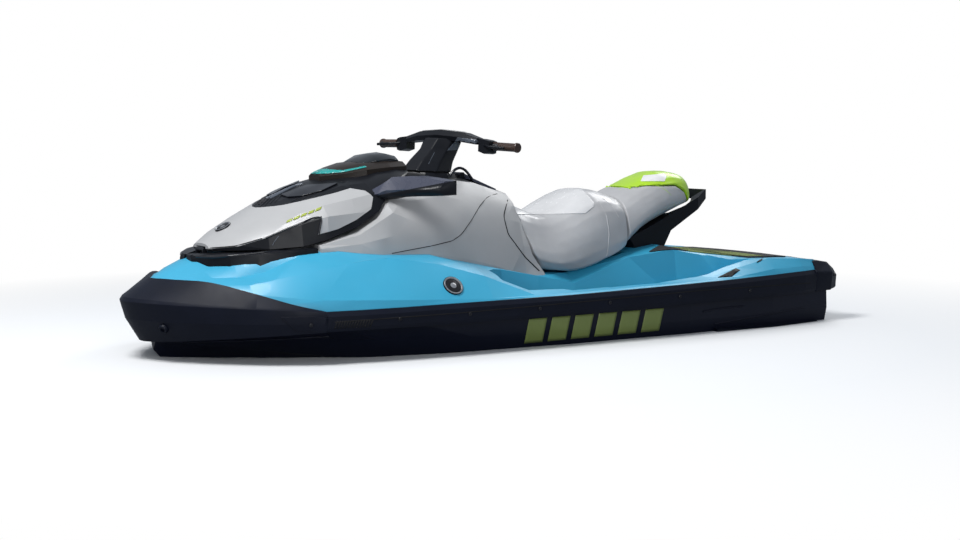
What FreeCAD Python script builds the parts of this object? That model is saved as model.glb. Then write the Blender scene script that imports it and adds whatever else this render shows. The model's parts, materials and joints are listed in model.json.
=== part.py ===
import FreeCAD, Part
import math
import os
from FreeCAD import Placement, Rotation, Vector

# Personal watercraft, millimetres. +X to the bow, +Y to port, +Z up.
# The origin is amidships on the centre plane, at the waterline of the craft afloat.

doc = FreeCAD.newDocument("watercraft")
sheet = doc.addObject("Spreadsheet::Sheet", "Sizes")
sheet.Label = "Sizes"

# Driving dimensions, millimetres and degrees
drivingSizes = {
    # grid of the lines plan, which the offset tables below are written in
    "stationSpacing": 100, "buttockSpacing": 100, "waterlineSpacing": 100,
    # walls, gaps and cuts
    "linerWall": 12, "hoodWall": 18, "binWall": 8, "lidGap": 6, "seatingGap": 0.3,
    "railDepth": 28, "matThickness": 6, "eyePlate": 18, "eyeBore": 9,
    # jet pump
    "pumpHeight": -90, "pumpBore": 80, "pumpWall": 13, "pumpFlangeRim": 16, "pumpFlange": 14,
    "pumpLength": 310, "pumpTaperStart": 170, "venturiBore": 52, "hubRadius": 34, "hubLength": 80,
    "bladeTipGap": 1.5, "bladeThickness": 5, "bladeChord": 78, "statorThickness": 5, "statorChord": 70,
    "shaftRadius": 14, "shaftClearance": 6, "stubRadius": 12, "stubLength": 60, "couplingGap": 12,
    "nozzleLength": 120, "nozzleOutlet": 44, "nozzleWall": 9, "nozzleEntryGap": 17, "nozzleSetback": 20,
    "nozzleOverhang": 8, "nozzlePin": 6, "gatePin": 8, "gateArmWidth": 14, "gateWall": 9, "gateGap": 12,
    "pivotPlate": 10, "pivotPlateWidth": 28, "ridePlateThickness": 9, "grateBar": 9,
    # hinge pins of hood, glove lid and seat
    "hingePin": 4, "hingeBarrel": 8, "hingeHalf": 28, "lugThickness": 12, "pinClearance": 0.05, "lugGap": 0.3,
    # steering
    "columnLean": 3, "columnRadius": 15, "columnDepth": 70, "steeringRest": 22, "nozzleRest": -17.6,
    "barRadius": 11, "leverRadius": 6, "gripRadius": 17.5, "gripFlange": 21, "gripFlangeWidth": 7,
    # engine
    "engineLength": 440, "engineWidth": 290, "engineHeight": 330,
}
for row, (alias, value) in enumerate(drivingSizes.items(), start=1):
    sheet.set("A%d" % row, alias)
    sheet.set("B%d" % row, str(value))
    sheet.setAlias("B%d" % row, alias)
doc.recompute()


def size(alias):
    return float(sheet.get(alias))


stationSpacing, buttockSpacing = size("stationSpacing"), size("buttockSpacing")
waterlineSpacing = size("waterlineSpacing")
seatingGap, lidGap = size("seatingGap"), size("lidGap")


def grid(x, y, z):
    """A point of the lines plan, from its shares of the three spacings."""
    return Vector(x * stationSpacing, y * buttockSpacing, z * waterlineSpacing)


# Shapes shared by the sub-parts

ringChords = 28
flatEnough = 0.001


def closedWire(points):
    return Part.makePolygon(list(points) + [points[0]])


def facets(corners):
    """One flat face through the four corners, or two along the shorter diagonal."""
    a, b, c, d = corners
    normal = (b - a).cross(d - a)
    if normal.Length > 0 and abs((c - a).dot(normal.normalize())) < flatEnough:
        return [Part.Face(closedWire(corners))]
    if (a - c).Length <= (b - d).Length:
        return [Part.Face(closedWire([a, b, c])), Part.Face(closedWire([a, c, d]))]
    return [Part.Face(closedWire([a, b, d])), Part.Face(closedWire([b, c, d]))]


def faired(rings, steps):
    """Rings with more set between them, each point on a curve along its own line of points."""
    if steps < 2:
        return rings
    lines = []
    for line in zip(*rings):
        padded = [2 * line[0] - line[1]] + list(line) + [2 * line[-1] - line[-2]]
        fair = []
        for before, start, end, after in zip(padded, padded[1:], padded[2:], padded[3:]):
            for step in range(steps):
                t = step / steps
                leaving, arriving = (end - before) / 2, (after - start) / 2
                fair.append(start * (2 * t ** 3 - 3 * t ** 2 + 1) + leaving * (t ** 3 - 2 * t ** 2 + t) +
                            end * (3 * t ** 2 - 2 * t ** 3) + arriving * (t ** 3 - t ** 2))
        lines.append(fair + [line[-1]])
    return [list(ring) for ring in zip(*lines)]


def lofted(rings, steps=1):
    """Closed solid of flat facets through the rings, facing outwards."""
    rings = faired(rings, steps)
    faces = [Part.Face(closedWire(rings[0])), Part.Face(closedWire(rings[-1]))]
    for near, far in zip(rings, rings[1:]):
        for i in range(len(near)):
            faces += facets([near[i - 1], near[i], far[i], far[i - 1]])
    solid = Part.makeSolid(Part.makeShell(faces))
    if solid.Volume < 0:
        solid.reverse()
    return solid


def mirroredSection(station, halfShares):
    """Closed section across the craft, from the port half given outside to centre."""
    port = [grid(station, y, z) for y, z in halfShares]
    starboard = [grid(station, -y, z) for y, z in reversed(halfShares) if y > 0]
    return port + starboard


def hullForm(stationShares, steps=1):
    """Solid through mirrored sections; each row is a station and its half section."""
    return lofted([mirroredSection(x, half) for x, half in stationShares], steps)


def sideLoft(sectionShares, steps=1):
    """Solid through sections on the port side only."""
    return lofted([[grid(x, y, z) for y, z in points] for x, points in sectionShares], steps)


def acrossPrism(outlineShares, halfWidth):
    """Side-view outline carried across the craft."""
    wire = closedWire([grid(x, -halfWidth, z) for x, z in outlineShares])
    return Part.Face(wire).extrude(grid(0, 2 * halfWidth, 0))


def upPrism(outlineShares, low, high):
    """Top-view outline carried upwards."""
    wire = closedWire([grid(x, y, low) for x, y in outlineShares])
    return Part.Face(wire).extrude(grid(0, 0, high - low))


def gridBox(x0, x1, y0, y1, z0, z1):
    return upPrism([(x0, y0), (x1, y0), (x1, y1), (x0, y1)], z0, z1)


def mirrored(shape):
    return shape.mirror(Vector(0, 0, 0), Vector(0, 1, 0))


def smoothRing(points):
    """Closed ring of short chords along a smooth curve through the points."""
    curve = Part.BSplineCurve()
    curve.interpolate(Points=points, PeriodicFlag=True)
    return curve.toShape().discretize(Number=ringChords + 1)[:-1]


def cushionLoft(sectionShares):
    """Soft solid through smooth rings: station, then port half from bottom centre to top centre."""
    rings = []
    for x, half in sectionShares:
        port = [grid(x, y, z) for y, z in half]
        starboard = [grid(x, -y, z) for y, z in reversed(half) if y > 0]
        rings.append(smoothRing(port + starboard))
    return lofted(rings, 2)


def crossPin(x, z, radius, half):
    """Round bar across the craft, by its centre in the side view."""
    return Part.makeCylinder(radius, 2 * half, grid(x, 0, z) - Vector(0, half, 0), Vector(0, 1, 0))


def pinHinge(x, z, footX, footZ, webX, webZ):
    """Pin with two lugs down to their foot, and the barrel with its web, for one hinge."""
    pin, barrel, half = size("hingePin"), size("hingeBarrel"), size("hingeHalf")
    gap, thickness = size("lugGap"), size("lugThickness")
    outer = half + gap + thickness
    lugs = crossPin(x, z, barrel, outer).fuse(bridge(x, z, footX, footZ, barrel, outer))
    lugs = lugs.cut(gridBox(-20, 20, -(half + gap) / buttockSpacing, (half + gap) / buttockSpacing, -5, 12))
    fixed = lugs.fuse(crossPin(x, z, pin, outer))
    moving = crossPin(x, z, barrel, half).fuse(bridge(x, z, webX, webZ, barrel, half))
    return fixed, moving.cut(crossPin(x, z, pin + size("pinClearance"), outer))


def bridge(x, z, footX, footZ, halfThickness, half):
    """Flat bar in the side view from one centre to another, carried across."""
    start, end = grid(x, 0, z), grid(footX, 0, footZ)
    along = end - start
    normal = Vector(-along.z, 0, along.x)
    normal.multiply(halfThickness / along.Length)
    side = Vector(0, half, 0)
    corners = [start + normal - side, end + normal - side, end - normal - side, start - normal - side]
    return Part.Face(closedWire(corners)).extrude(2 * side)


def piece(label, shape, placement=None):
    item = doc.addObject("Part::Feature", label)
    item.Label = label
    item.Shape = shape
    if placement is not None:
        item.Placement = placement
    return item


# Hull: keel, strake, chine, knuckle and sheer at each station
hullShares = [
    (-15.7, [(0, -2.35), (2.3, -1.75), (4.3, -1.0), (4.7, -0.9), (5.05, 0.6), (5.0, 1.7)]),
    (-12, [(0, -2.45), (2.4, -1.8), (4.65, -1.0), (5.1, -0.9), (5.42, 0.6), (5.45, 1.7)]),
    (-7, [(0, -2.5), (2.5, -1.8), (4.85, -0.95), (5.3, -0.85), (5.68, 0.6), (5.8, 1.7)]),
    (-1, [(0, -2.5), (2.5, -1.75), (4.85, -0.85), (5.3, -0.75), (5.75, 0.6), (5.95, 1.7)]),
    (4, [(0, -2.5), (2.4, -1.6), (4.6, -0.6), (5.0, -0.5), (5.55, 0.65), (5.95, 1.7)]),
    (8, [(0, -2.4), (2.1, -1.3), (4.0, -0.2), (4.4, -0.1), (5.05, 0.75), (5.7, 1.7)]),
    (11, [(0, -2.0), (1.6, -0.9), (3.1, 0.15), (3.4, 0.25), (4.15, 0.9), (5.15, 1.7)]),
    (13.2, [(0, -1.3), (1.0, -0.4), (2.0, 0.45), (2.2, 0.52), (2.9, 1.0), (3.9, 1.7)]),
    (14.6, [(0, -0.5), (0.5, 0.1), (1.1, 0.6), (1.25, 0.66), (1.7, 1.05), (2.35, 1.7)]),
    (15.35, [(0, 0.3), (0.15, 0.5), (0.3, 0.75), (0.36, 0.8), (0.5, 1.1), (0.7, 1.7)]),
]
hullForwardShares = [(x, list(reversed(half))) for x, half in hullShares]
hullSolid = hullForm(hullForwardShares)

# Deck moulding: rail line, light band, facet, crease, console foot and centre
deckShares = [
    (-15, [(4.95, 1.7), (5.1, 2.42), (5.0, 2.6), (4.85, 2.86), (4.2, 2.85), (3, 2.86), (1.5, 2.88), (0, 2.88)]),
    (-14, [(5.15, 1.7), (5.3, 2.4), (5.2, 2.6), (4.95, 2.95), (4.3, 2.9), (3, 2.9), (1.5, 2.92), (0, 2.92)]),
    (-12, [(5.45, 1.7), (5.6, 2.36), (5.5, 2.6), (5.0, 3.05), (4.3, 2.95), (3, 2.96), (1.5, 3.0), (0, 3.0)]),
    (-10, [(5.62, 1.7), (5.75, 2.31), (5.65, 2.4), (5.2, 2.7), (4.2, 2.9), (3, 3.2), (1.6, 3.3), (0, 3.3)]),
    (-8.3, [(5.73, 1.7), (5.85, 2.27), (5.75, 2.33), (5.35, 2.4), (4, 2.75), (2.6, 3.45), (1.6, 3.6), (0, 3.6)]),
    (-6, [(5.83, 1.7), (5.93, 2.22), (5.85, 2.27), (5.45, 2.28), (4, 2.5), (2.4, 3.2), (1.9, 3.3), (0, 3.3)]),
    (-3, [(5.92, 1.7), (6.0, 2.17), (5.92, 2.22), (5.5, 2.24), (4, 2.2), (2.5, 2.2), (2.0, 2.6), (0, 2.7)]),
    (-1, [(5.95, 1.7), (6.03, 2.13), (5.95, 2.18), (5.55, 2.2), (4, 2.3), (2.7, 2.6), (2.0, 2.7), (0, 2.75)]),
    (1.2, [(5.96, 1.7), (6.04, 2.1), (5.95, 2.14), (5.75, 2.18), (4.5, 2.6), (3.1, 3.05), (2.0, 3.15), (0, 3.2)]),
    (3.3, [(5.96, 1.7), (6.04, 2.1), (5.98, 2.18), (5.25, 3.02), (4.4, 3.35), (3.7, 3.5), (2.0, 3.6), (0, 3.6)]),
    (5.2, [(5.94, 1.7), (6.02, 2.1), (5.95, 2.24), (4.85, 3.55), (4.3, 3.82), (4.0, 3.9), (2.0, 3.95), (0, 3.95)]),
    (7.3, [(5.8, 1.7), (5.9, 2.07), (5.83, 2.33), (4.5, 3.88), (4.1, 3.94), (3.85, 3.96), (2.0, 4.0), (0, 4.0)]),
    (9, [(5.62, 1.7), (5.72, 2.05), (5.63, 2.4), (4.45, 3.72), (3.7, 4.1), (3.4, 4.2), (2.0, 4.2), (0, 4.2)]),
    (10.6, [(5.3, 1.7), (5.4, 2.03), (5.28, 2.45), (4.4, 3.45), (3.3, 4.0), (3.1, 4.05), (1.6, 4.1), (0, 4.1)]),
    (12, [(4.8, 1.7), (4.88, 2.3), (4.72, 2.6), (4.1, 3.2), (2.95, 3.4), (2.7, 3.8), (1.5, 4.0), (0, 4.05)]),
    (12.9, [(4.2, 1.7), (4.25, 2.55), (4.12, 2.72), (3.8, 3.02), (2.8, 3.25), (2.35, 3.65), (1.2, 3.98), (0, 4.02)]),
    (13.8, [(3.2, 1.7), (3.3, 2.84), (3.18, 2.95), (2.95, 3.04), (2.3, 3.22), (1.5, 3.46), (0.9, 3.75), (0, 3.9)]),
    (14.6, [(2.1, 1.7), (2.25, 2.96), (2.15, 3.03), (1.95, 3.08), (1.6, 3.15), (1.05, 3.26), (0.65, 3.45), (0, 3.54)]),
    (15.35, [(0.6, 1.7), (0.7, 2.9), (0.62, 2.96), (0.55, 3.0), (0.45, 3.04), (0.32, 3.07), (0.18, 3.1), (0, 3.12)]),
]
deckSolid = hullForm(deckShares)

# Footwells: inner top, inner floor, outer floor and outer top at each station
footwellShares = [
    (2.3, [(3.95, 4.6), (4.0, 1.8), (4.9, 1.8), (5.3, 4.6)]),
    (1.2, [(2.98, 4.6), (3.45, 0.9), (5.1, 0.9), (5.55, 4.6)]),
    (-1, [(2.42, 4.6), (2.95, 0.9), (5.15, 0.9), (5.6, 4.6)]),
    (-3, [(2.18, 4.6), (2.75, 0.9), (5.1, 0.9), (5.6, 4.6)]),
    (-6, [(2.26, 4.6), (2.8, 0.9), (5.05, 0.9), (5.5, 4.6)]),
    (-8.5, [(2.5, 4.6), (3.0, 1.1), (4.85, 1.1), (5.35, 4.6)]),
    (-10.5, [(3.2, 4.6), (3.5, 2.1), (4.5, 2.1), (5.05, 4.6)]),
    (-12, [(3.8, 4.6), (3.85, 3.0), (4.4, 3.0), (4.8, 4.6)]),
]
linerShare = size("linerWall") / buttockSpacing
footwellPort = sideLoft(footwellShares)
linerShares = [(x, [(i[0] - linerShare, 2.0), (f[0] - linerShare, f[1] - linerShare),
                    (g[0] + linerShare, g[1] - linerShare), (o[0] + linerShare, 2.0)])
               for x, (i, f, g, o) in footwellShares if f[1] < 1.9]
linerPort = sideLoft(linerShares)
footwells = [footwellPort, mirrored(footwellPort)]
liners = [linerPort, mirrored(linerPort)]

# Engine bay below the seat, front storage well and pump bay
bayShares = {"front": -0.9, "rear": -6.4, "half": 1.9, "floor": -1.3, "top": 4.2}
engineBay = gridBox(bayShares["rear"], bayShares["front"], -bayShares["half"], bayShares["half"],
                    bayShares["floor"], bayShares["top"])
wellShares = {"front": 12.0, "rear": 7.9, "half": 1.9, "floor": 0.6, "top": 5.6}
storageWell = gridBox(wellShares["rear"], wellShares["front"], -wellShares["half"], wellShares["half"],
                      wellShares["floor"], wellShares["top"])
pumpAxis = size("pumpHeight")
pumpBayShares = {"front": -11.0, "bayRear": -16.6, "bayHalf": 1.75, "bayTop": 1.05, "bayFloor": -3.2}
pumpBay = gridBox(pumpBayShares["bayRear"], pumpBayShares["front"], -pumpBayShares["bayHalf"],
                  pumpBayShares["bayHalf"], pumpBayShares["bayFloor"], pumpBayShares["bayTop"])
intakeShares = [(-7.3, -2.9), (-10.6, -2.9), (-10.9, -1.7), (-11.1, -1.7), (-11.1, -0.1), (-10.4, -0.1),
                (-9.4, -0.5), (-8.2, -1.6)]
intake = acrossPrism(intakeShares, size("pumpBore") / buttockSpacing)
engineShare = {"middle": -3.65}
engineRear = engineShare["middle"] * stationSpacing - size("engineLength") / 2
shaftReach = engineRear - pumpBayShares["front"] * stationSpacing - size("couplingGap")
shaftTunnel = Part.makeCylinder(size("shaftRadius") + size("shaftClearance"), shaftReach,
                                Vector(pumpBayShares["front"] * stationSpacing, 0, pumpAxis), Vector(1, 0, 0))

deckMade = deckSolid.fuse(liners)
for cutter in footwells + [engineBay, storageWell]:
    deckMade = deckMade.cut(cutter)
hullMade = hullSolid.cut(deckMade)
for cutter in footwells + [engineBay, storageWell, pumpBay, intake, shaftTunnel]:
    hullMade = hullMade.cut(cutter)
piece("hull", hullMade)
piece("deck", deckMade)
hullFormSolid, deckForm = hullSolid, deckSolid

# Bow bumper: outline points with the outward heading, and the section there
bumperShares = [
    (10.6, 5.68, 78, [(0, 1.95), (0, 2.0), (-0.08, 2.06), (-0.4, 2.04), (-0.4, 1.26), (-0.06, 1.26), (0, 1.6)]),
    (11.7, 5.3, 70, [(0, 2.1), (-0.03, 2.16), (-0.18, 2.32), (-0.5, 2.27), (-0.5, 1.2), (-0.12, 1.2), (-0.02, 1.6)]),
    (13.0, 4.6, 58, [(0, 2.18), (-0.05, 2.26), (-0.34, 2.72), (-0.7, 2.62), (-0.7, 1.1), (-0.2, 1.1), (-0.05, 1.6)]),
    (14.5, 3.4, 48, [(0, 2.24), (-0.06, 2.34), (-0.62, 3.12), (-1.0, 3.02), (-1.0, 0.95), (-0.4, 0.95), (-0.1, 1.6)]),
    (15.6, 2.15, 42, [(0, 2.28), (-0.08, 2.4), (-0.9, 3.16), (-1.2, 3.06), (-1.2, 0.85), (-0.6, 0.8), (-0.15, 1.6)]),
    (16.3, 1.0, 24, [(0, 2.3), (-0.09, 2.44), (-1.1, 3.15), (-1.3, 3.06), (-1.3, 0.8), (-0.7, 0.72), (-0.2, 1.6)]),
    (16.6, 0, 0, [(0, 2.3), (-0.1, 2.45), (-1.2, 3.14), (-1.4, 3.05), (-1.4, 0.78), (-0.75, 0.7), (-0.2, 1.6)]),
]


def headedSection(x, y, heading, points):
    turn = math.radians(heading)
    return [grid(x + o * math.cos(turn), y + o * math.sin(turn), z) for o, z in points]


bumperRings = [headedSection(*row) for row in bumperShares]
bumperRings += [headedSection(x, -y, -heading, points)
                for x, y, heading, points in reversed(bumperShares[:-1])]
bumper = lofted(bumperRings, 3).cut(deckForm).cut(hullFormSolid)
piece("bow_bumper", bumper)

# Rub rails: half breadth of the inner face, bottom and top at each station
railShares = [(10.6, 5.3, 1.26, 2.04), (9, 5.62, 1.28, 2.06), (7.3, 5.8, 1.3, 2.08), (5.2, 5.94, 1.3, 2.11),
              (3.3, 5.96, 1.3, 2.12), (0, 5.96, 1.32, 2.13), (-3, 5.92, 1.33, 2.18), (-6, 5.83, 1.35, 2.23),
              (-8.3, 5.73, 1.36, 2.28), (-10, 5.62, 1.37, 2.32), (-12, 5.45, 1.38, 2.37), (-14, 5.15, 1.38, 2.41),
              (-14.8, 4.98, 1.38, 2.43)]
railDepthShare = size("railDepth") / buttockSpacing
railSectionShares = []
for x, y, low, high in railShares:
    out = y + railDepthShare
    railSectionShares.append((x, [(y - 0.3, low), (out - 0.06, low), (out, low + 0.14), (out, high - 0.2),
                             (out - 0.12, high - 0.02), (y - 0.1, high)]))
railPort = sideLoft(railSectionShares).cut(deckForm).cut(hullFormSolid).cut(bumper)
piece("rail_port", railPort)
piece("rail_starboard", mirrored(railPort))

# Stern: corner bumpers and the step between them
cornerShares = [
    (-14.8, [(3.6, 1.38), (5.25, 1.38), (5.3, 2.3), (4.9, 2.88), (3.6, 2.9)]),
    (-15.9, [(3.7, 1.4), (5.1, 1.4), (5.2, 2.25), (4.8, 2.7), (3.7, 2.72)]),
    (-16.6, [(3.9, 1.46), (4.7, 1.46), (4.75, 2.05), (4.5, 2.35), (3.9, 2.35)]),
]
cornerPort = sideLoft(cornerShares).cut(deckForm).cut(hullFormSolid)
piece("stern_bumper_port", cornerPort)
piece("stern_bumper_starboard", mirrored(cornerPort))
stepShares = [(-15, 1.38), (-15, 2.87), (-15.8, 2.74), (-15.95, 2.4), (-15.95, 1.38)]
step = acrossPrism(stepShares, 3.58).cut(deckForm).cut(hullFormSolid)
eyeShares = {"outline": [(-15.9, -0.35), (-16.25, -0.3), (-16.4, -0.15), (-16.4, 0.15), (-16.25, 0.3), (-15.9, 0.35)],
             "centre": (-16.15, 2.0)}
eyeX, eyeZ = eyeShares["centre"]
eyeHalf = Vector(0, 0, size("eyePlate") / 2)
eyeFace = Part.Face(closedWire([grid(x, y, eyeZ) - eyeHalf for x, y in eyeShares["outline"]]))
eyeBore = Part.makeCylinder(size("eyeBore"), size("eyePlate") * 2, grid(eyeX, 0, eyeZ) - eyeHalf * 2)
towEye = eyeFace.extrude(eyeHalf * 2).cut(eyeBore)
piece("stern_step", step.fuse(towEye))

# Hood: rim, side, shoulder, upper, mid and centre at each station
hoodShares = [
    (13.3, [(0.75, 4.15), (0.8, 4.25), (0.7, 4.33), (0.5, 4.38), (0.25, 4.41), (0, 4.42)]),
    (12.5, [(1.85, 4.2), (1.85, 4.4), (1.6, 4.62), (1.1, 4.8), (0.55, 4.9), (0, 4.93)]),
    (11.5, [(2.6, 4.25), (2.45, 4.75), (2.1, 5.05), (1.4, 5.3), (0.7, 5.42), (0, 5.46)]),
    (10.3, [(3.1, 4.35), (2.95, 5.2), (2.55, 5.55), (1.7, 5.85), (0.9, 6.03), (0, 6.15)]),
    (9.3, [(3.3, 4.6), (3.25, 5.5), (2.8, 5.9), (1.9, 6.25), (1.0, 6.45), (0, 6.55)]),
    (8.1, [(3.4, 5.05), (3.3, 5.6), (2.95, 6.15), (2.1, 6.65), (1.1, 6.8), (0, 6.9)]),
    (7.1, [(3.35, 5.65), (3.2, 5.95), (2.95, 6.35), (2.2, 6.75), (1.2, 7.0), (0, 7.1)]),
    (6.4, [(3.0, 6.4), (2.95, 6.55), (2.75, 6.75), (2.1, 7.0), (1.2, 7.2), (0, 7.3)]),
    (5.4, [(2.3, 6.92), (2.2, 7.0), (2.0, 7.1), (1.6, 7.25), (0.9, 7.35), (0, 7.4)]),
    (4.75, [(1.6, 7.12), (1.55, 7.16), (1.4, 7.22), (1.1, 7.3), (0.6, 7.36), (0, 7.38)]),
]

# Console: the two side panels and the spine that carries glove box and steering neck
consoleShares = [
    (9.7, [(3.4, 3.6), (3.4, 4.24), (3.36, 4.3), (3.3, 4.36), (3.1, 4.38), (2.4, 4.38), (0, 4.38)]),
    (8.1, [(3.8, 3.4), (3.8, 4.05), (3.75, 4.4), (3.6, 4.75), (3.3, 4.85), (2.4, 4.85), (0, 4.85)]),
    (7.2, [(3.92, 3.3), (3.92, 3.97), (3.93, 4.6), (3.75, 5.3), (3.4, 5.35), (2.4, 5.3), (0, 5.3)]),
    (6.7, [(3.97, 3.3), (3.97, 3.96), (4.0, 4.7), (3.8, 5.6), (3.35, 5.9), (2.4, 5.95), (0, 5.95)]),
    (6.1, [(4.0, 3.3), (4.0, 3.95), (4.03, 4.6), (3.87, 5.35), (3.3, 5.98), (2.6, 6.35), (0, 6.5)]),
    (5.1, [(4.05, 3.2), (4.05, 3.93), (4.05, 4.5), (3.93, 5.0), (3.3, 6.08), (2.4, 6.7), (0, 6.8)]),
    (4.0, [(3.95, 3.1), (3.95, 3.75), (3.85, 4.6), (3.55, 5.5), (3.0, 6.2), (2.2, 6.8), (0, 6.95)]),
    (2.8, [(3.6, 2.9), (3.6, 3.5), (3.42, 4.5), (3.15, 5.3), (2.85, 5.95), (2.0, 6.75), (0, 6.95)]),
    (1.5, [(3.2, 2.6), (3.2, 3.2), (2.95, 4.3), (2.62, 5.2), (2.2, 5.95), (1.6, 6.6), (0, 6.85)]),
    (0.4, [(2.85, 2.3), (2.85, 2.9), (2.58, 4.1), (2.25, 5.1), (1.8, 5.85), (1.3, 6.3), (0, 6.5)]),
    (-0.5, [(2.6, 2.1), (2.6, 2.65), (2.35, 3.9), (2.0, 4.9), (1.5, 5.7), (0.9, 6.1), (0, 6.25)]),
    (-1.8, [(2.5, 2.0), (2.5, 2.5), (2.2, 3.6), (1.9, 4.6), (1.4, 5.4), (0.9, 5.9), (0, 6.1)]),
]
seamShares = [(-0.5, 7.0), (-0.5, 5.6), (-0.62, 4.6), (-0.95, 3.5), (-1.5, 2.7), (-1.6, 1.5), (-3, 1.5), (-3, 7.0)]
console = hullForm(consoleShares).cut(deckForm).cut(acrossPrism(seamShares, 4))
spineShares = [(6.9, 1.0), (4.4, 2.0), (2.2, 1.5), (0.6, 0.95), (-1.9, 0.8)]
spinePrism = upPrism(spineShares + [(x, -y) for x, y in reversed(spineShares)], 2.0, 8.0)
gloveShares = {"front": 1.15, "rear": -0.05, "half": 0.62, "floor": 4.9}
gloveWell = gridBox(gloveShares["rear"], gloveShares["front"], -gloveShares["half"], gloveShares["half"],
                    gloveShares["floor"], 8.0)
lidSlopeShares = [(1.3, 7.4), (1.3, 6.7), (-0.2, 6.05), (-0.2, 7.4)]
lidRecess = acrossPrism(lidSlopeShares, 0.78)
spine = console.common(spinePrism).cut(lidRecess).cut(gloveWell)
for cutter in footwells:
    console = console.cut(cutter)
panels = console.cut(spinePrism).cut(storageWell)
lidHinge, lidBarrel = pinHinge(1.36, 6.96, 1.5, 6.6, 1.0, 6.79)
seatHinge, seatBarrel = pinHinge(-0.66, 5.93, -0.2, 5.7, -0.8, 5.3)
lid = acrossPrism([(1.22, 6.86), (1.22, 6.74), (-0.14, 6.14), (-0.14, 6.3)], 0.7)
seatingDrop = Vector(0, 0, -seatingGap)
lidRests = [gridBox(0.1, 0.4, y, y + 0.06, 5.8, 6.38).cut(lid.translated(seatingDrop)) for y in (-0.7, 0.64)]
latchPost = gridBox(4.9, 5.3, -0.4, 0.4, 6.5, 7.05).cut(hullForm(hoodShares).translated(seatingDrop))
spine = spine.fuse([lidHinge, seatHinge, latchPost] + lidRests)
columnFoot = grid(2.75, 0, 7.03)
lean = Placement(columnFoot, Rotation(Vector(0, 1, 0), -size("columnLean")))
steered = lean.multiply(Placement(Vector(0, 0, 0), Rotation(Vector(0, 0, 1), size("steeringRest"))))


def columnShaft(radius):
    """Steering shaft below the column foot, standing on the column's own axis."""
    shaft = Part.makeCylinder(radius, 2 * size("columnDepth"), Vector(0, 0, -size("columnDepth")))
    shaft.Placement = lean
    return shaft


def ovalRing(x, y, z, halfX, halfY):
    return [grid(x + halfX * math.cos(a), y + halfY * math.sin(a), z)
            for a in [math.radians(22.5 + 45 * k) for k in range(8)]]


collar = lofted([ovalRing(0.35, 0, -0.9, 1.6, 1.35), ovalRing(0.35, 0, -0.2, 1.5, 1.25), ovalRing(0.35, 0, 0, 1.4, 1.15)])
collar.Placement = lean
spine = spine.fuse(collar).cut(columnShaft(size("columnRadius") + size("pinClearance")))
piece("console_spine", spine.cut(storageWell))
portHalf = gridBox(-20, 20, 0, 10, -5, 12)
panelPort = panels.common(portHalf)
piece("console_panel_port", panelPort)
piece("console_panel_starboard", mirrored(panelPort))

piece("glove_lid", lid.fuse(lidBarrel))

# Storage tub in the front well
tubGap = lidGap / buttockSpacing
tubWall = size("binWall") / buttockSpacing
tubOuter = gridBox(wellShares["rear"] + tubGap, wellShares["front"] - tubGap, -wellShares["half"] + tubGap,
                   wellShares["half"] - tubGap, wellShares["floor"], 4.1)
tubInner = gridBox(wellShares["rear"] + tubGap + tubWall, wellShares["front"] - tubGap - tubWall,
                   -wellShares["half"] + tubGap + tubWall, wellShares["half"] - tubGap - tubWall,
                   wellShares["floor"] + tubWall, 5.0)
piece("storage_tub", tubOuter.cut(tubInner))

# Chin grille between the deck and the hood
chinShares = [
    (9.8, [(3.38, 3.4), (3.38, 4.26), (3.2, 4.3), (2.6, 4.3), (2.6, 3.4)]),
    (10.8, [(3.22, 3.3), (3.2, 4.16), (3.0, 4.22), (2.3, 4.22), (2.3, 3.3)]),
    (12.0, [(2.85, 3.2), (2.75, 4.08), (2.55, 4.15), (1.9, 4.15), (1.9, 3.2)]),
    (13.0, [(2.3, 3.1), (2.2, 4.02), (2.0, 4.09), (1.0, 4.09), (1.0, 3.1)]),
    (13.6, [(1.4, 3.1), (1.4, 3.93), (1.25, 4.02), (0.3, 4.04), (0.3, 3.1)]),
    (13.95, [(0.6, 3.2), (0.6, 3.82), (0.5, 3.96), (0.1, 3.98), (0.1, 3.2)]),
]
chinPort = sideLoft(chinShares).cut(deckForm)
noseBlock = gridBox(12.4, 13.9, -0.5, 0.5, 3.3, 4.0).cut(deckForm)
hoodHinge, hoodBarrel = pinHinge(13.3, 4.16, 13.3, 3.9, 13.05, 4.4)
chin = chinPort.fuse([mirrored(chinPort), noseBlock]).cut(storageWell)
barrelRoom = crossPin(13.3, 4.16, size("hingeBarrel") + lidGap, size("hingeHalf") + size("lugGap"))
chin = chin.fuse(hoodHinge).cut(deckForm).cut(barrelRoom.cut(crossPin(13.3, 4.16, size("hingePin"), size("hingeHalf") * 2)))
piece("chin_grille", chin)

# Hood shell, split into panel, vents and frame
hoodOuter = hullForm(hoodShares)
wallShare = size("hoodWall") / buttockSpacing
innerShares = []
for x, half in hoodShares[1:8]:
    (rimY, rimZ), rest = half[0], half[1:]
    innerHalfShares = [(rimY - wallShare, rimZ - 1.0)]
    innerHalfShares += [(max(y - wallShare, 0), z - wallShare) for y, z in rest]
    innerShares.append((x, innerHalfShares))
hoodShell = hoodOuter.cut(hullForm(innerShares))
panelShares = [(13.6, 4.22), (13.3, 4.22), (12.5, 4.36), (11.6, 4.68), (10.2, 5.26), (9.5, 5.52), (9.7, 4.8),
                (8.9, 5.0), (8.1, 5.34), (7.4, 5.75), (7.18, 6.2), (7.35, 6.45), (7.85, 6.55), (9.4, 6.16),
                (10.35, 5.9), (11.3, 5.69), (11.4, 7.5), (13.6, 7.5)]
ventShares = [(11.4, 7.5), (11.3, 5.69), (10.35, 5.9), (9.4, 6.16), (7.85, 6.55), (7.7, 6.8), (8.3, 7.5)]
panelPrism, ventPrism = acrossPrism(panelShares, 4), acrossPrism(ventShares, 4)
hingeRoom = crossPin(13.3, 4.16, size("hingeBarrel") + lidGap,
                     size("hingeHalf") + size("lugThickness") + lidGap)
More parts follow.
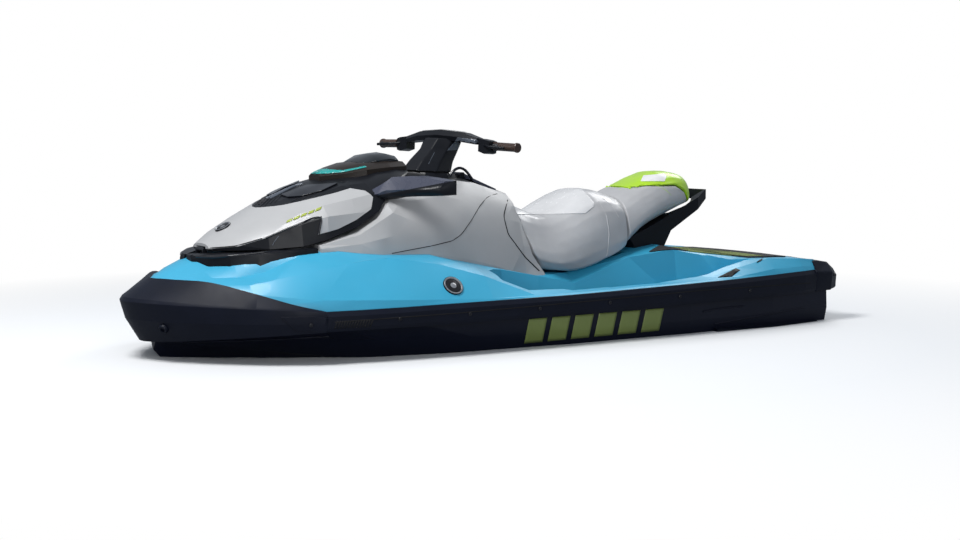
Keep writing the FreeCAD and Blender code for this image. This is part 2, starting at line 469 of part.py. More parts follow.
hoodPanel = hoodShell.common(panelPrism).cut(hingeRoom)
piece("hood_panel", hoodPanel)
piece("hood_vents", hoodShell.common(ventPrism))
hoodFrame = hoodShell.cut(panelPrism).cut(ventPrism).cut(hingeRoom)
piece("hood_frame", hoodFrame.fuse(hoodBarrel).cut(hoodPanel))

# Gauge pod and windshield on the hood
gaugeShares = [
    (8.3, [(0.5, 6.7), (0.5, 6.98), (0.3, 7.08), (0, 7.1)]),
    (7.5, [(1.2, 6.7), (1.2, 7.1), (0.8, 7.3), (0, 7.36)]),
    (6.7, [(1.6, 6.8), (1.6, 7.25), (1.1, 7.48), (0, 7.54)]),
    (5.6, [(1.65, 6.9), (1.65, 7.35), (1.2, 7.58), (0, 7.64)]),
    (4.75, [(1.45, 7.0), (1.45, 7.38), (1.1, 7.56), (0, 7.62)]),
]
gaugeCut = hullForm(gaugeShares).cut(hoodOuter)
piece("gauge_pod", max(gaugeCut.Solids, key=lambda solid: solid.Volume))
screenShares = [
    (6.6, [(0.9, 7.3), (0.9, 7.46), (0.6, 7.53), (0, 7.56)]),
    (6.0, [(1.15, 7.3), (1.15, 7.62), (0.8, 7.8), (0, 7.86)]),
    (5.4, [(1.2, 7.3), (1.2, 7.68), (0.85, 7.88), (0, 7.94)]),
    (4.95, [(1.1, 7.3), (1.1, 7.62), (0.8, 7.78), (0, 7.84)]),
]
screenInnerShares = [(x + 0.08, [(max(y - 0.06, 0), z - 0.06) for y, z in half]) for x, half in screenShares[1:]]
screenInnerShares = screenInnerShares + [(4.7, [(max(y - 0.06, 0), z - 0.06) for y, z in screenShares[-1][1]])]
screen = hullForm(screenShares).cut(hullForm(gaugeShares)).cut(hullForm(screenInnerShares)).cut(hoodOuter)
piece("windshield", screen)

# Mirrors on the hood
mirrorShares = [
    (6.95, 2.75, 0.28, 6.15, 6.5), (6.62, 3.12, 0.4, 6.12, 6.75), (6.3, 3.32, 0.5, 6.2, 7.0), (5.7, 3.8, 0.52, 6.24, 7.04),
    (5.0, 4.45, 0.45, 6.26, 6.92), (4.72, 4.72, 0.4, 6.3, 6.84),
]
mirrorRings = []
for x, y, depth, low, high in mirrorShares:
    middle = low + (high - low) / 3
    mirrorRings.append([grid(x + depth / 2, y, low), grid(x + depth, y, middle), grid(x + depth / 3, y, high),
                        grid(x - depth, y, high), grid(x - depth, y, low)])
mirrorPort = lofted(mirrorRings).cut(hoodOuter)
piece("mirror_port", mirrorPort)
piece("mirror_starboard", mirrored(mirrorPort))

# Seat: smooth rings from bottom centre up the port side to top centre
frontShares = [
    (-0.5, [(0, 3.0), (1.7, 3.0), (2.3, 3.6), (2.05, 4.6), (1.45, 5.5), (0.7, 5.95), (0, 6.05)]),
    (-1.4, [(0, 2.75), (1.9, 2.75), (2.5, 3.2), (2.1, 4.3), (1.35, 5.1), (0.6, 5.42), (0, 5.5)]),
    (-2.3, [(0, 2.75), (2.0, 2.6), (2.6, 2.9), (2.3, 4.1), (1.6, 4.9), (0.7, 5.1), (0, 5.1)]),
    (-3.4, [(0, 2.75), (2.0, 2.55), (2.6, 2.8), (2.5, 4.0), (2.1, 5.1), (1.0, 5.6), (0, 5.7)]),
    (-4.6, [(0, 3.0), (2.0, 2.8), (2.5, 3.0), (2.5, 4.2), (2.25, 5.4), (1.1, 6.1), (0, 6.18)]),
    (-5.7, [(0, 3.4), (1.9, 3.3), (2.4, 3.4), (2.4, 4.4), (2.15, 5.4), (1.1, 6.0), (0, 6.08)]),
    (-6.3, [(0, 3.6), (1.8, 3.5), (2.2, 3.7), (2.2, 4.5), (1.9, 5.3), (1.0, 5.85), (0, 5.92)]),
]
rearShares = [
    (-6.35, [(0, 3.6), (1.8, 3.7), (2.15, 3.9), (2.1, 4.6), (1.8, 5.35), (1.0, 5.85), (0, 5.92)]),
    (-7.5, [(0, 4.3), (1.5, 4.4), (1.95, 4.7), (1.9, 5.3), (1.6, 5.9), (0.9, 6.28), (0, 6.35)]),
    (-9.0, [(0, 4.9), (1.3, 5.0), (1.7, 5.3), (1.7, 5.9), (1.4, 6.5), (0.8, 6.83), (0, 6.9)]),
    (-10.1, [(0, 5.2), (1.1, 5.3), (1.42, 5.5), (1.42, 5.95), (1.2, 6.48), (0.7, 6.78), (0, 6.84)]),
    (-10.7, [(0, 5.38), (0.85, 5.42), (1.1, 5.6), (1.1, 5.9), (0.9, 6.3), (0.55, 6.55), (0, 6.6)]),
    (-11.1, [(0, 5.6), (0.3, 5.62), (0.45, 5.7), (0.45, 5.88), (0.38, 6.05), (0.2, 6.15), (0, 6.17)]),
]
seatFront = cushionLoft(frontShares)
seatRear = cushionLoft(rearShares)
limeShares = [(-7.2, 6.16), (-8.1, 6.3), (-9.6, 6.3), (-10.2, 6.0), (-10.7, 5.2), (-12, 5.2), (-12, 7.5), (-7.2, 7.5)]
limePrism = acrossPrism(limeShares, 3)
deckLift = Vector(0, 0, lidGap)
hingeNotch = gridBox(-0.86, 0, -0.5, 0.5, 5.2, 6.4)
seatFront = seatFront.cut(deckForm.translated(deckLift)).cut(hingeNotch)
seatPan = acrossPrism([(-0.72, 5.6), (-1.6, 3.3), (-6.0, 3.7), (-6.0, 3.85), (-1.7, 3.48), (-0.88, 5.6)], 0.7)
seatPan = seatPan.fuse(seatBarrel.common(acrossPrism([(0, 6.5), (-3, 6.5), (-3, 5.0), (0, 5.0)], 1)))
seamGap = lidGap / stationSpacing
seatFront = seatFront.common(acrossPrism([(x - seamGap, z) for x, z in seamShares[:-2]] + [(-8, 1.5), (-8, 7)], 4))
piece("seat_front", seatFront.cut(seatPan))
piece("seat_pan", seatPan)
piece("seat_rear", seatRear.cut(limePrism))
piece("seat_end", seatRear.common(limePrism))

# Grab handle behind and under the rear seat
handleShares = [(-7.4, 3.3), (-8.9, 3.3), (-9.4, 4.2), (-12.0, 5.72), (-12.0, 6.0), (-11.75, 6.05),
                 (-8.6, 4.6), (-7.0, 3.95)]
handleTopShares = [(-6.9, 1.3), (-11.0, 1.3), (-11.8, 0.9), (-12.2, 0.3)]
handle = acrossPrism(handleShares, 1.3).common(upPrism(handleTopShares + [(x, -y) for x, y in reversed(handleTopShares)], 3, 7))
handleGap = acrossPrism([(-9.6, 3.0), (-11.75, 4.5), (-11.75, 7.0), (-9.6, 7.0)], 0.85)
handle = handle.cut(handleGap).cut(deckForm).cut(seatRear)
for drop in ((-lidGap, -lidGap), (0, -lidGap), (-lidGap, 0)):
    handle = handle.cut(seatRear.translated(Vector(drop[0], 0, drop[1])))
seatRest = gridBox(-8.2, -7.8, -0.4, 0.4, 3.9, 5.0).cut(seatRear.translated(seatingDrop))
piece("grab_handle", handle.fuse(seatRest))

# Mats in the footwells and on the platform
matShare = size("matThickness") / waterlineSpacing
floorShares = [(1.0, 3.6), (1.0, 4.95), (-6.0, 4.9), (-8.2, 4.75), (-8.2, 3.15), (-6.0, 2.95), (-3, 2.9), (-1, 3.1)]
matPort = upPrism(floorShares, 0.9, 0.9 + matShare).common(footwellPort)
piece("mat_port", matPort)
piece("mat_starboard", mirrored(matPort))
platformShares = [(-12.2, 3.6), (-14.6, 3.4), (-14.7, 0), (-14.6, -3.4), (-12.2, -3.6), (-11.6, 0)]
platformMat = upPrism(platformShares, 2.5, 4.0).common(deckSolid.translated(grid(0, 0, matShare)))
piece("platform_mat", platformMat.cut(deckForm))

# Sponsons low on the sides
sponsonShares = [
    (-8.5, [(5.3, -0.2), (5.75, -0.1), (5.75, 0.1), (5.3, 0.2)]),
    (-12.0, [(5.1, -0.45), (5.8, -0.35), (5.75, 0.0), (5.1, 0.15)]),
    (-15.0, [(4.8, -0.5), (5.5, -0.4), (5.45, -0.05), (4.8, 0.1)]),
]
sponsonPort = sideLoft(sponsonShares).cut(hullFormSolid)
piece("sponson_port", sponsonPort)
piece("sponson_starboard", mirrored(sponsonPort))


# Bodies made of sketches and features

def newBody(label):
    body = doc.addObject("PartDesign::Body", label)
    body.Label = label
    return body


def originPlane(body, role):
    return [feature for feature in body.Origin.OriginFeatures if feature.Role == role][0]


def outlineSketch(body, role, points, offset=None):
    sketch = body.newObject("Sketcher::SketchObject", body.Name + "Outline")
    sketch.AttachmentSupport = [(originPlane(body, role), "")]
    sketch.MapMode = "FlatFace"
    if offset is not None:
        sketch.AttachmentOffset = offset
    corners = [Vector(x, y, 0) for x, y in points]
    for a, b in zip(corners, corners[1:] + corners[:1]):
        sketch.addGeometry(Part.LineSegment(a, b), False)
    return sketch


def padded(body, sketch, lengthExpression, symmetric=False):
    pad = body.newObject("PartDesign::Pad", body.Name + "Pad")
    pad.Profile = sketch
    pad.Midplane = symmetric
    pad.setExpression("Length", lengthExpression)
    return pad


# Engine: one plain block on the keel line under the seat
engine = newBody("engine")
halfLength, halfWidth = size("engineLength") / 2, size("engineWidth") / 2
engineSketch = outlineSketch(engine, "XY_Plane", [(-halfLength, -halfWidth), (halfLength, -halfWidth),
                                                  (halfLength, halfWidth), (-halfLength, halfWidth)])
padded(engine, engineSketch, "Sizes.engineHeight")
engine.Placement = Placement(grid(engineShare["middle"], 0, bayShares["floor"]), Rotation())

# Pump housing: flange, impeller tunnel, taper and venturi, with stator, hub and pivot plates
pumpFront = pumpBayShares["front"] * stationSpacing
bore, wall = size("pumpBore"), size("pumpWall")
length, venturi, taper = size("pumpLength"), size("venturiBore"), size("pumpTaperStart")
flange, rim = size("pumpFlange"), size("pumpFlangeRim")
hub, stub, stubLength = size("hubRadius"), size("stubRadius"), size("stubLength")
hubLength, pinClearance = size("hubLength"), size("pinClearance")
pumpOrigin = Vector(pumpFront, 0, pumpAxis)


def aboutPump(profile):
    """Solid of revolution about the pump axis, from distance aft of the flange and radius."""
    corners = [pumpOrigin + Vector(-aft, 0, radius) for aft, radius in profile]
    face = Part.Face(closedWire(corners))
    return face.revolve(pumpOrigin, Vector(1, 0, 0), 360)


def vanes(count, aft, chord, thickness, inner, outer, pitch):
    """Radial blades of one twist, set round the pump axis."""
    rings = []
    for radius, angle in ((inner, pitch), (outer, pitch + bladeTwist)):
        turn = math.radians(angle)
        ahead = Vector(math.cos(turn) * chord / 2, math.sin(turn) * chord / 2, 0)
        side = Vector(-math.sin(turn) * thickness / 2, math.cos(turn) * thickness / 2, 0)
        middle = pumpOrigin + Vector(-aft, 0, radius)
        rings.append([middle + ahead + side, middle - ahead + side, middle - ahead - side, middle + ahead - side])
    blade = lofted(rings)
    blades = []
    for number in range(count):
        turned = blade.copy()
        turned.rotate(pumpOrigin, Vector(1, 0, 0), number * 360 / count)
        blades.append(turned)
    return blades


bladeTwist = 18
statorStart = size("shaftClearance") * 2 + flange + hubLength
statorEnd = statorStart + size("statorChord")
housing = aboutPump([(0, bore), (0, bore + wall + rim), (flange, bore + wall + rim), (flange, bore + wall),
                     (taper, bore + wall), (length, venturi + wall), (length, venturi), (taper, bore)])
statorHub = aboutPump([(statorStart, stub + pinClearance), (statorStart, hub), (statorEnd, hub * 0.9),
                       (statorEnd + hubLength, stub), (statorEnd + hubLength, 0), (statorStart + stubLength, 0),
                       (statorStart + stubLength, stub + pinClearance)])
statorVanes = vanes(6, statorStart + size("statorChord") / 2, size("statorChord") * 0.9, size("statorThickness"),
                    hub * 0.8, bore + wall / 2, -bladeTwist)
nozzleEntry = venturi + wall + size("nozzleEntryGap")
nozzleWall = size("nozzleWall")
nozzleAft = length + size("nozzleSetback")
plate, plateHalf = size("pivotPlate"), size("pivotPlateWidth") / 2
plateInner = nozzleEntry + nozzleWall + size("gateGap") / 2


def pivotPlateAt(turn):
    """Plate that runs aft outside the nozzle from a foot on the tunnel, at a turn about the pump axis."""
    aftEnd = pumpOrigin + Vector(-nozzleAft - plateHalf, -plateHalf, plateInner)
    foot = pumpOrigin + Vector(-taper, -plateHalf, bore + wall / 2)
    arm = Part.makeBox(nozzleAft + plateHalf - taper * 0.8, 2 * plateHalf, plate, aftEnd)
    arm = arm.fuse(Part.makeBox(taper * 0.2, 2 * plateHalf, plateInner - bore, foot))
    arm.rotate(pumpOrigin, Vector(1, 0, 0), turn)
    return arm


def radialPin(aft, radius, inner, outer, turn):
    pin = Part.makeCylinder(radius, outer - inner, pumpOrigin + Vector(-aft, 0, inner), Vector(0, 0, 1))
    pin.rotate(pumpOrigin, Vector(1, 0, 0), turn)
    return pin


nozzlePin, gatePin = size("nozzlePin"), size("gatePin")
gateInner = plateInner + plate + size("gateGap") / 2
gateArm = size("gateArmWidth")
plates = [pivotPlateAt(turn) for turn in (0, 90, 180, 270)]
pins = [radialPin(nozzleAft, nozzlePin, nozzleEntry + pinClearance, plateInner + plate, turn) for turn in (0, 180)]
pins += [radialPin(nozzleAft, gatePin, plateInner, gateInner + gateArm, turn) for turn in (90, 270)]
piece("pump_housing", housing.fuse(statorVanes + [statorHub] + plates + pins))

nozzleLength, nozzleOutlet = size("nozzleLength"), size("nozzleOutlet")
overhang = size("nozzleOverhang")
nozzle = aboutPump([(nozzleAft - overhang, nozzleEntry), (nozzleAft - overhang, nozzleEntry + nozzleWall),
                    (nozzleAft + overhang * 2, nozzleEntry + nozzleWall),
                    (nozzleAft + nozzleLength, nozzleOutlet + nozzleWall), (nozzleAft + nozzleLength, nozzleOutlet),
                    (nozzleAft + overhang * 2, nozzleEntry)])
for turn in (0, 180):
    nozzle = nozzle.cut(radialPin(nozzleAft, nozzlePin + pinClearance, 0, plateInner * 2, turn))
nozzle.rotate(pumpOrigin + Vector(-nozzleAft, 0, 0), Vector(0, 0, 1), size("nozzleRest"))
piece("steering_nozzle", nozzle)

# Impeller, with its stub in the stator hub and its shaft forward to the engine
impellerFront = flange + size("shaftClearance")
impellerHub = aboutPump([(-shaftReach, 0), (-shaftReach, size("shaftRadius")),
                         (0, size("shaftRadius")), (impellerFront, hub * 0.7),
                         (statorStart - size("shaftClearance"), hub), (statorStart - size("shaftClearance"), stub),
                         (statorStart + stubLength * 0.9, stub), (statorStart + stubLength * 0.9, 0)])
impellerBlades = vanes(4, impellerFront + hubLength / 2, size("bladeChord"), size("bladeThickness"), hub * 0.6,
                       bore - size("bladeTipGap") * 2, 40)
impellerDisc = aboutPump([(impellerFront - hubLength, 0), (impellerFront - hubLength, bore - size("bladeTipGap")),
                          (statorStart - size("shaftClearance") / 2, bore - size("bladeTipGap")),
                          (statorStart - size("shaftClearance") / 2, 0)])
impeller = impellerHub.fuse([blade.common(impellerDisc) for blade in impellerBlades])
piece("impeller", impeller)

# Reverse gate: a curved bucket between two side plates, pivoted beside the nozzle
gateCentre = pumpOrigin + Vector(-nozzleAft, 0, 0)
gateBore = math.hypot(nozzleLength, nozzleOutlet + nozzleWall) + size("gateGap")
gateSweep = {"low": 62, "high": 148}


def gateDisc(radius, half):
    return Part.makeCylinder(radius, 2 * half, gateCentre - Vector(0, half, 0), Vector(0, 1, 0))


def gateRay(angle, radius):
    turn = math.radians(angle)
    return gateCentre + Vector(radius * math.cos(turn), 0, radius * math.sin(turn))


gateHalf = gateInner + gateArm
reach = 2 * gateBore
wedgeSide = Vector(0, gateHalf, 0)
wedge = Part.Face(closedWire([gateRay(-90, gatePin * 3) - wedgeSide, gateRay(gateSweep["low"] - 20, gatePin * 4) -
                              wedgeSide, gateRay(gateSweep["low"], reach) - wedgeSide,
                              gateRay(105, reach * 1.5) - wedgeSide, gateRay(gateSweep["high"], reach) - wedgeSide,
                              gateRay(gateSweep["high"] + 20, gatePin * 4) - wedgeSide])).extrude(2 * wedgeSide)
gate = gateDisc(gateBore + size("gateWall"), gateHalf).cut(gateDisc(gateBore, gateInner)).common(wedge)
gate = gate.cut(gateDisc(gatePin + pinClearance, gateHalf * 2))
piece("reverse_gate", gate)

# Ride plate under the pump bay and the grate over the intake
plateShare = size("ridePlateThickness") / waterlineSpacing
bayHalf = pumpBayShares["bayHalf"]
rideShares = [(0, -2.44 + plateShare), (bayHalf, -1.97 + plateShare), (bayHalf, -1.97), (0, -2.44)]
piece("ride_plate", hullForm([(-15.6, rideShares), (-11.05, rideShares)]))
bars = [gridBox(-10.9, -7.2, y, y + size("grateBar") / buttockSpacing, -2.3, -2.15) for y in (-0.6, -0.3, 0, 0.3, 0.6)]
grate = bars[0].fuse(bars[1:] + [gridBox(-10.95, -10.7, -0.78, 0.78, -2.3, -2.15)])
piece("intake_grate", grate.cut(hullMade))

# Steering: everything below is drawn straight ahead about the column, then turned to its rest
neckRings = [ovalRing(0.3, 0, 0.05, 1.3, 1.0), ovalRing(0, 0, 0.5, 1.15, 0.9), ovalRing(-0.5, 0, 1.0, 1.0, 0.8),
             ovalRing(-0.8, 0, 1.5, 0.85, 0.85)]
columnStub = Part.makeCylinder(size("columnRadius"), size("columnDepth") * 1.2, Vector(0, 0, -size("columnDepth") * 0.9))

barShares = [(-1.15, -3.7, 1.2), (-1.0, -2.3, 1.26), (-0.9, -1.3, 1.55), (-0.9, 1.3, 1.55), (-1.0, 2.3, 1.26),
           (-1.15, 3.7, 1.2)]


def tubeAlong(points, radius):
    """Round tube on straight runs, each run passing its corner by half a radius."""
    runs = []
    for a, b in zip(points, points[1:]):
        along = (b - a).normalize()
        runs.append(Part.makeCylinder(radius, (b - a).Length + radius / 2, a, along))
    return runs[0].fuse(runs[1:])


barPoints = [grid(*point) for point in barShares]
piece("handlebar", tubeAlong(barPoints, size("barRadius")), steered)
padShares = [(-1.9, 0.32, 1.28, 1.56), (-1.1, 0.5, 1.38, 1.78), (0, 0.6, 1.42, 1.86), (1.1, 0.5, 1.38, 1.78),
           (1.9, 0.32, 1.28, 1.56)]
padRings = []
for y, depth, low, high in padShares:
    padRings.append([grid(-0.9 - depth, y, low), grid(-0.9 - depth * 1.1, y, (low + high) / 2),
                     grid(-0.9 - depth * 0.7, y, high), grid(-0.9 + depth * 0.7, y, high),
                     grid(-0.9 + depth * 1.1, y, (low + high) / 2), grid(-0.9 + depth, y, low)])
barTube = tubeAlong(barPoints, size("barRadius"))
barPad = lofted(padRings).cut(barTube)
piece("handlebar_pad", barPad, steered)
piece("steering_neck", lofted(neckRings).fuse(columnStub).cut(barTube).cut(barPad), steered)
for side, name in ((1, "port"), (-1, "starboard")):
    podShares = [(1.95, 0.3, 1.0, 1.55), (2.3, 0.34, 0.9, 1.5), (2.5, 0.28, 0.95, 1.45)]
    rings = [[grid(-1.0 - d, side * y, low), grid(-1.0 - d, side * y, high), grid(-1.0 + d, side * y, high),
              grid(-1.0 + d, side * y, low)] for y, d, low, high in podShares]
    leverPath = [grid(-0.7, side * 2.3, 1.25), grid(-0.45, side * 2.7, 1.2), grid(-0.5, side * 3.4, 1.16)]
    lever = tubeAlong(leverPath, size("leverRadius"))
    pod = lofted(rings).fuse(lever).cut(barTube)
    piece("control_pod_" + name, pod, steered)
    inner = grid(-1.027, side * 2.55, 1.249)
    end = grid(-1.155, side * 3.75, 1.198)
    direction = end - inner
    grip = Part.makeCylinder(size("gripRadius"), direction.Length, inner, direction)
    flange = Part.makeCylinder(size("gripFlange"), size("gripFlangeWidth"), end, direction)
    piece("grip_" + name, grip.fuse(flange).cut(barTube), steered)

doc.recompute()
os.makedirs("parts", exist_ok=True)
subParts = [item for item in doc.Objects if item.TypeId in ("Part::Feature", "PartDesign::Body")]
for item in doc.Objects:
    if {"Invalid", "Error"} & set(item.State):
        raise RuntimeError("failed object " + item.Label)
for item in subParts:
    if item.Shape.isNull() or not item.Shape.isValid() or not item.Shape.Solids:
        raise RuntimeError("bad shape " + item.Label)
for item in subParts:
    item.Shape.exportStep("parts/%s.step" % item.Label)
    box = item.Shape.optimalBoundingBox(True, False)
    print("%-24s solids %d volume %.4f x %.0f..%.0f y %.0f..%.0f z %.0f..%.0f" % (
        item.Label, len(item.Shape.Solids), item.Shape.Volume / 1e9, box.XMin, box.XMax, box.YMin, box.YMax,
        box.ZMin, box.ZMax))
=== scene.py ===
import bmesh
import bpy
import json
import math
import numpy
from mathutils import Matrix, Vector
from mathutils.bvhtree import BVHTree


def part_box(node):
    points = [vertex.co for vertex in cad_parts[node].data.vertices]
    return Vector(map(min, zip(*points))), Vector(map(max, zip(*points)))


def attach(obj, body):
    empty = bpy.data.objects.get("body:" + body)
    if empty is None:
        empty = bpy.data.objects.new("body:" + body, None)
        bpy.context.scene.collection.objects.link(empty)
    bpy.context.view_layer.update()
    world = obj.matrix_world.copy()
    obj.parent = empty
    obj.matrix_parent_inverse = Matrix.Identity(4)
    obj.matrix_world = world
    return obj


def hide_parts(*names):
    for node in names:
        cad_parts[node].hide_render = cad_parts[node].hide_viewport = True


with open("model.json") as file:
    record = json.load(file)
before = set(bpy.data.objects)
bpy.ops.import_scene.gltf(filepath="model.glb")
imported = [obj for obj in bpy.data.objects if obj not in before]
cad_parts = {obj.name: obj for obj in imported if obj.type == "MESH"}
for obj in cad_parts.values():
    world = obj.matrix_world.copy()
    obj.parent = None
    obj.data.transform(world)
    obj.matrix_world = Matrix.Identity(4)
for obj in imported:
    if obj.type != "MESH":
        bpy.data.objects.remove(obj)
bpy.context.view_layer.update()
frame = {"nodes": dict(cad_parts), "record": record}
nodes = frame["nodes"]
scene = bpy.context.scene
bodyOf = {name: body for body, names in frame["record"]["behaviour"]["bodies"].items() for name in names}
slotOf = {row["node"]: row["material_slot"] for row in frame["record"]["subparts"]}
print("frame loaded:", len(nodes), "nodes")


def newMaterial(name, colour, roughness, metallic=0.0, coat=0.0, coatRoughness=0.05, specular=0.5):
    material = bpy.data.materials.new(name)
    material.use_nodes = True
    shader = material.node_tree.nodes["Principled BSDF"]
    shader.inputs["Base Color"].default_value = (*colour, 1)
    shader.inputs["Roughness"].default_value = roughness
    shader.inputs["Metallic"].default_value = metallic
    shader.inputs["Coat Weight"].default_value = coat
    shader.inputs["Coat Roughness"].default_value = coatRoughness
    shader.inputs["Specular IOR Level"].default_value = specular
    return material


def shaderOf(material):
    return material.node_tree.nodes["Principled BSDF"]


def link(owner, source, target):
    owner.node_tree.links.new(source, target)


def pattern(material, kind, stretch=(1, 1, 1), **values):
    tree = material.node_tree.nodes
    place = tree.new("ShaderNodeTexCoord")
    mapping = tree.new("ShaderNodeMapping")
    mapping.inputs["Scale"].default_value = stretch
    made = tree.new(kind)
    for name, value in values.items():
        made.inputs[name].default_value = value
    link(material, place.outputs["Object"], mapping.inputs["Vector"])
    link(material, mapping.outputs["Vector"], made.inputs["Vector"])
    return made


def noise(material, scale, detail, stretch=(1, 1, 1), rough=0.55):
    made = pattern(material, "ShaderNodeTexNoise", stretch, Scale=scale, Detail=detail, Roughness=rough)
    return made.outputs["Fac"]


def cells(material, scale):
    return pattern(material, "ShaderNodeTexVoronoi", Scale=scale).outputs["Distance"]


def shade(colour, share):
    return tuple(min(1.0, channel * share) for channel in colour)


def colourRange(material, factor, dark, light, low=0.35, high=0.65):
    ramp = material.node_tree.nodes.new("ShaderNodeValToRGB")
    ramp.color_ramp.elements[0].position = low
    ramp.color_ramp.elements[1].position = high
    ramp.color_ramp.elements[0].color = (*dark, 1)
    ramp.color_ramp.elements[1].color = (*light, 1)
    link(material, factor, ramp.inputs["Fac"])
    link(material, ramp.outputs["Color"], shaderOf(material).inputs["Base Color"])


def roughRange(material, factor, low, high):
    span = material.node_tree.nodes.new("ShaderNodeMapRange")
    span.inputs["To Min"].default_value = low
    span.inputs["To Max"].default_value = high
    link(material, factor, span.inputs["Value"])
    link(material, span.outputs["Result"], shaderOf(material).inputs["Roughness"])


def varied(material, colour, roughness, look, shades):
    # tone and gloss wander a little over the surface
    lower, upper = look["glossShares"]
    colourRange(material, noise(material, *look["tone"]), shade(colour, shades[0]), shade(colour, shades[1]))
    roughRange(material, noise(material, *look["gloss"]), roughness * lower, min(1, roughness * upper))


def bumps(material, layers):
    # layers: height factor, strength, distance in metres
    last = None
    for factor, strength, distance in layers:
        bump = material.node_tree.nodes.new("ShaderNodeBump")
        bump.inputs["Strength"].default_value = strength
        bump.inputs["Distance"].default_value = distance
        link(material, factor, bump.inputs["Height"])
        if last is not None:
            link(material, last.outputs["Normal"], bump.inputs["Normal"])
        last = bump
    link(material, last.outputs["Normal"], shaderOf(material).inputs["Normal"])


# in the looks below, tone, gloss and grains are a noise's scale and detail, bumps are strength and metres
gelcoatLook = {"coatRoughness": 0.04, "tone": (2.2, 4), "shades": (0.96, 1.04), "gloss": (14, 5),
               "glossShares": (0.8, 1.5), "fineGrain": (55, 2), "fineBump": (0.03, 0.0005),
               "broadGrain": (6, 2), "broadBump": (0.04, 0.001)}


def gelcoat(name, colour, roughness, coat, specular=0.5):
    look = gelcoatLook
    material = newMaterial(name, colour, roughness, coat=coat, coatRoughness=look["coatRoughness"],
                           specular=specular)
    varied(material, colour, roughness, look, look["shades"])
    bumps(material, [(noise(material, *look["fineGrain"]), *look["fineBump"]),
                     (noise(material, *look["broadGrain"]), *look["broadBump"])])
    return material


mouldedLook = {"coatRoughness": 0.12, "tone": (9, 5), "gloss": (30, 4), "glossShares": (0.85, 1.3),
               "cellScale": 900, "cellHeight": 0.0004, "fineGrain": (260, 3), "fineHeight": 0.0003}


def moulded(name, colour, roughness, grain, coat=0.0, spread=0.06, specular=0.35):
    look = mouldedLook
    material = newMaterial(name, colour, roughness, coat=coat, coatRoughness=look["coatRoughness"],
                           specular=specular)
    varied(material, colour, roughness, look, (1 - spread, 1 + spread))
    bumps(material, [(cells(material, look["cellScale"]), grain, look["cellHeight"]),
                     (noise(material, *look["fineGrain"]), grain, look["fineHeight"])])
    return material


vinylLook = {"coat": 0.25, "coatRoughness": 0.22, "sheen": 0.08, "tone": (7, 5), "shades": (0.94, 1.05),
             "gloss": (40, 4), "glossShares": (0.85, 1.3), "cellScale": 420, "cellBump": (0.22, 0.0005),
             "foldGrain": (30, 4), "foldBump": (0.1, 0.0012)}


def vinyl(name, colour, roughness):
    look = vinylLook
    material = newMaterial(name, colour, roughness, coat=look["coat"], coatRoughness=look["coatRoughness"])
    shaderOf(material).inputs["Sheen Weight"].default_value = look["sheen"]
    varied(material, colour, roughness, look, look["shades"])
    bumps(material, [(cells(material, look["cellScale"]), *look["cellBump"]),
                     (noise(material, *look["foldGrain"]), *look["foldBump"])])
    return material


# the grooves' darker colour is painted shade
foamLook = {"roughness": 0.85, "pitch": 70, "stretch": (0.2, 1, 0.2), "paintedGrooveShade": 0.55,
            "groove": (0.25, 0.6), "grooveBump": (0.8, 0.002), "fineGrain": (500, 3), "fineBump": (0.3, 0.0004)}


def groovedFoam(name, colour):
    look = foamLook
    material = newMaterial(name, colour, look["roughness"])
    wave = pattern(material, "ShaderNodeTexWave", look["stretch"], Scale=look["pitch"], Distortion=0.0,
                   Detail=0.0)
    wave.bands_direction = "Y"
    # the grooves are painted darker, as the shade that falls in them
    colourRange(material, wave.outputs["Fac"], shade(colour, look["paintedGrooveShade"]), colour, *look["groove"])
    bumps(material, [(wave.outputs["Fac"], *look["grooveBump"]),
                     (noise(material, *look["fineGrain"]), *look["fineBump"])])
    return material


castLook = {"metallic": 0.9, "tone": (20, 6), "shades": (0.8, 1.1), "grain": (220, 4), "bump": (0.35, 0.0006)}


def castMetal(name, colour, roughness):
    look = castLook
    material = newMaterial(name, colour, roughness, metallic=look["metallic"])
    darker, lighter = look["shades"]
    colourRange(material, noise(material, *look["tone"]), shade(colour, darker), shade(colour, lighter))
    bumps(material, [(noise(material, *look["grain"]), *look["bump"])])
    return material


brushedLook = {"anisotropic": 0.5, "stretch": (1, 14, 14), "tone": (90, 3), "darkShade": 0.88,
               "grain": (160, 3), "bump": (0.12, 0.0003)}


def brushedMetal(name, colour, roughness):
    look = brushedLook
    material = newMaterial(name, colour, roughness, metallic=1.0)
    shaderOf(material).inputs["Anisotropic"].default_value = look["anisotropic"]
    tone = noise(material, *look["tone"], look["stretch"])
    colourRange(material, tone, shade(colour, look["darkShade"]), colour)
    bumps(material, [(noise(material, *look["grain"], look["stretch"]), *look["bump"])])
    return material


smokedLook = {"roughness": 0.07, "coat": 0.5, "coatRoughness": 0.03, "transmission": 0.35, "refraction": 1.49,
              "gloss": (25, 4), "glossRange": (0.05, 0.1)}


def smoked(name, colour):
    look = smokedLook
    material = newMaterial(name, colour, look["roughness"], coat=look["coat"],
                           coatRoughness=look["coatRoughness"])
    shaderOf(material).inputs["Transmission Weight"].default_value = look["transmission"]
    shaderOf(material).inputs["IOR"].default_value = look["refraction"]
    roughRange(material, noise(material, *look["gloss"]), *look["glossRange"])
    return material


glassLook = {"roughness": 0.03, "gloss": (8, 3), "glossRange": (0.02, 0.06)}


def silvered(name, colour):
    look = glassLook
    material = newMaterial(name, colour, look["roughness"], metallic=1.0)
    roughRange(material, noise(material, *look["gloss"]), *look["glossRange"])
    return material


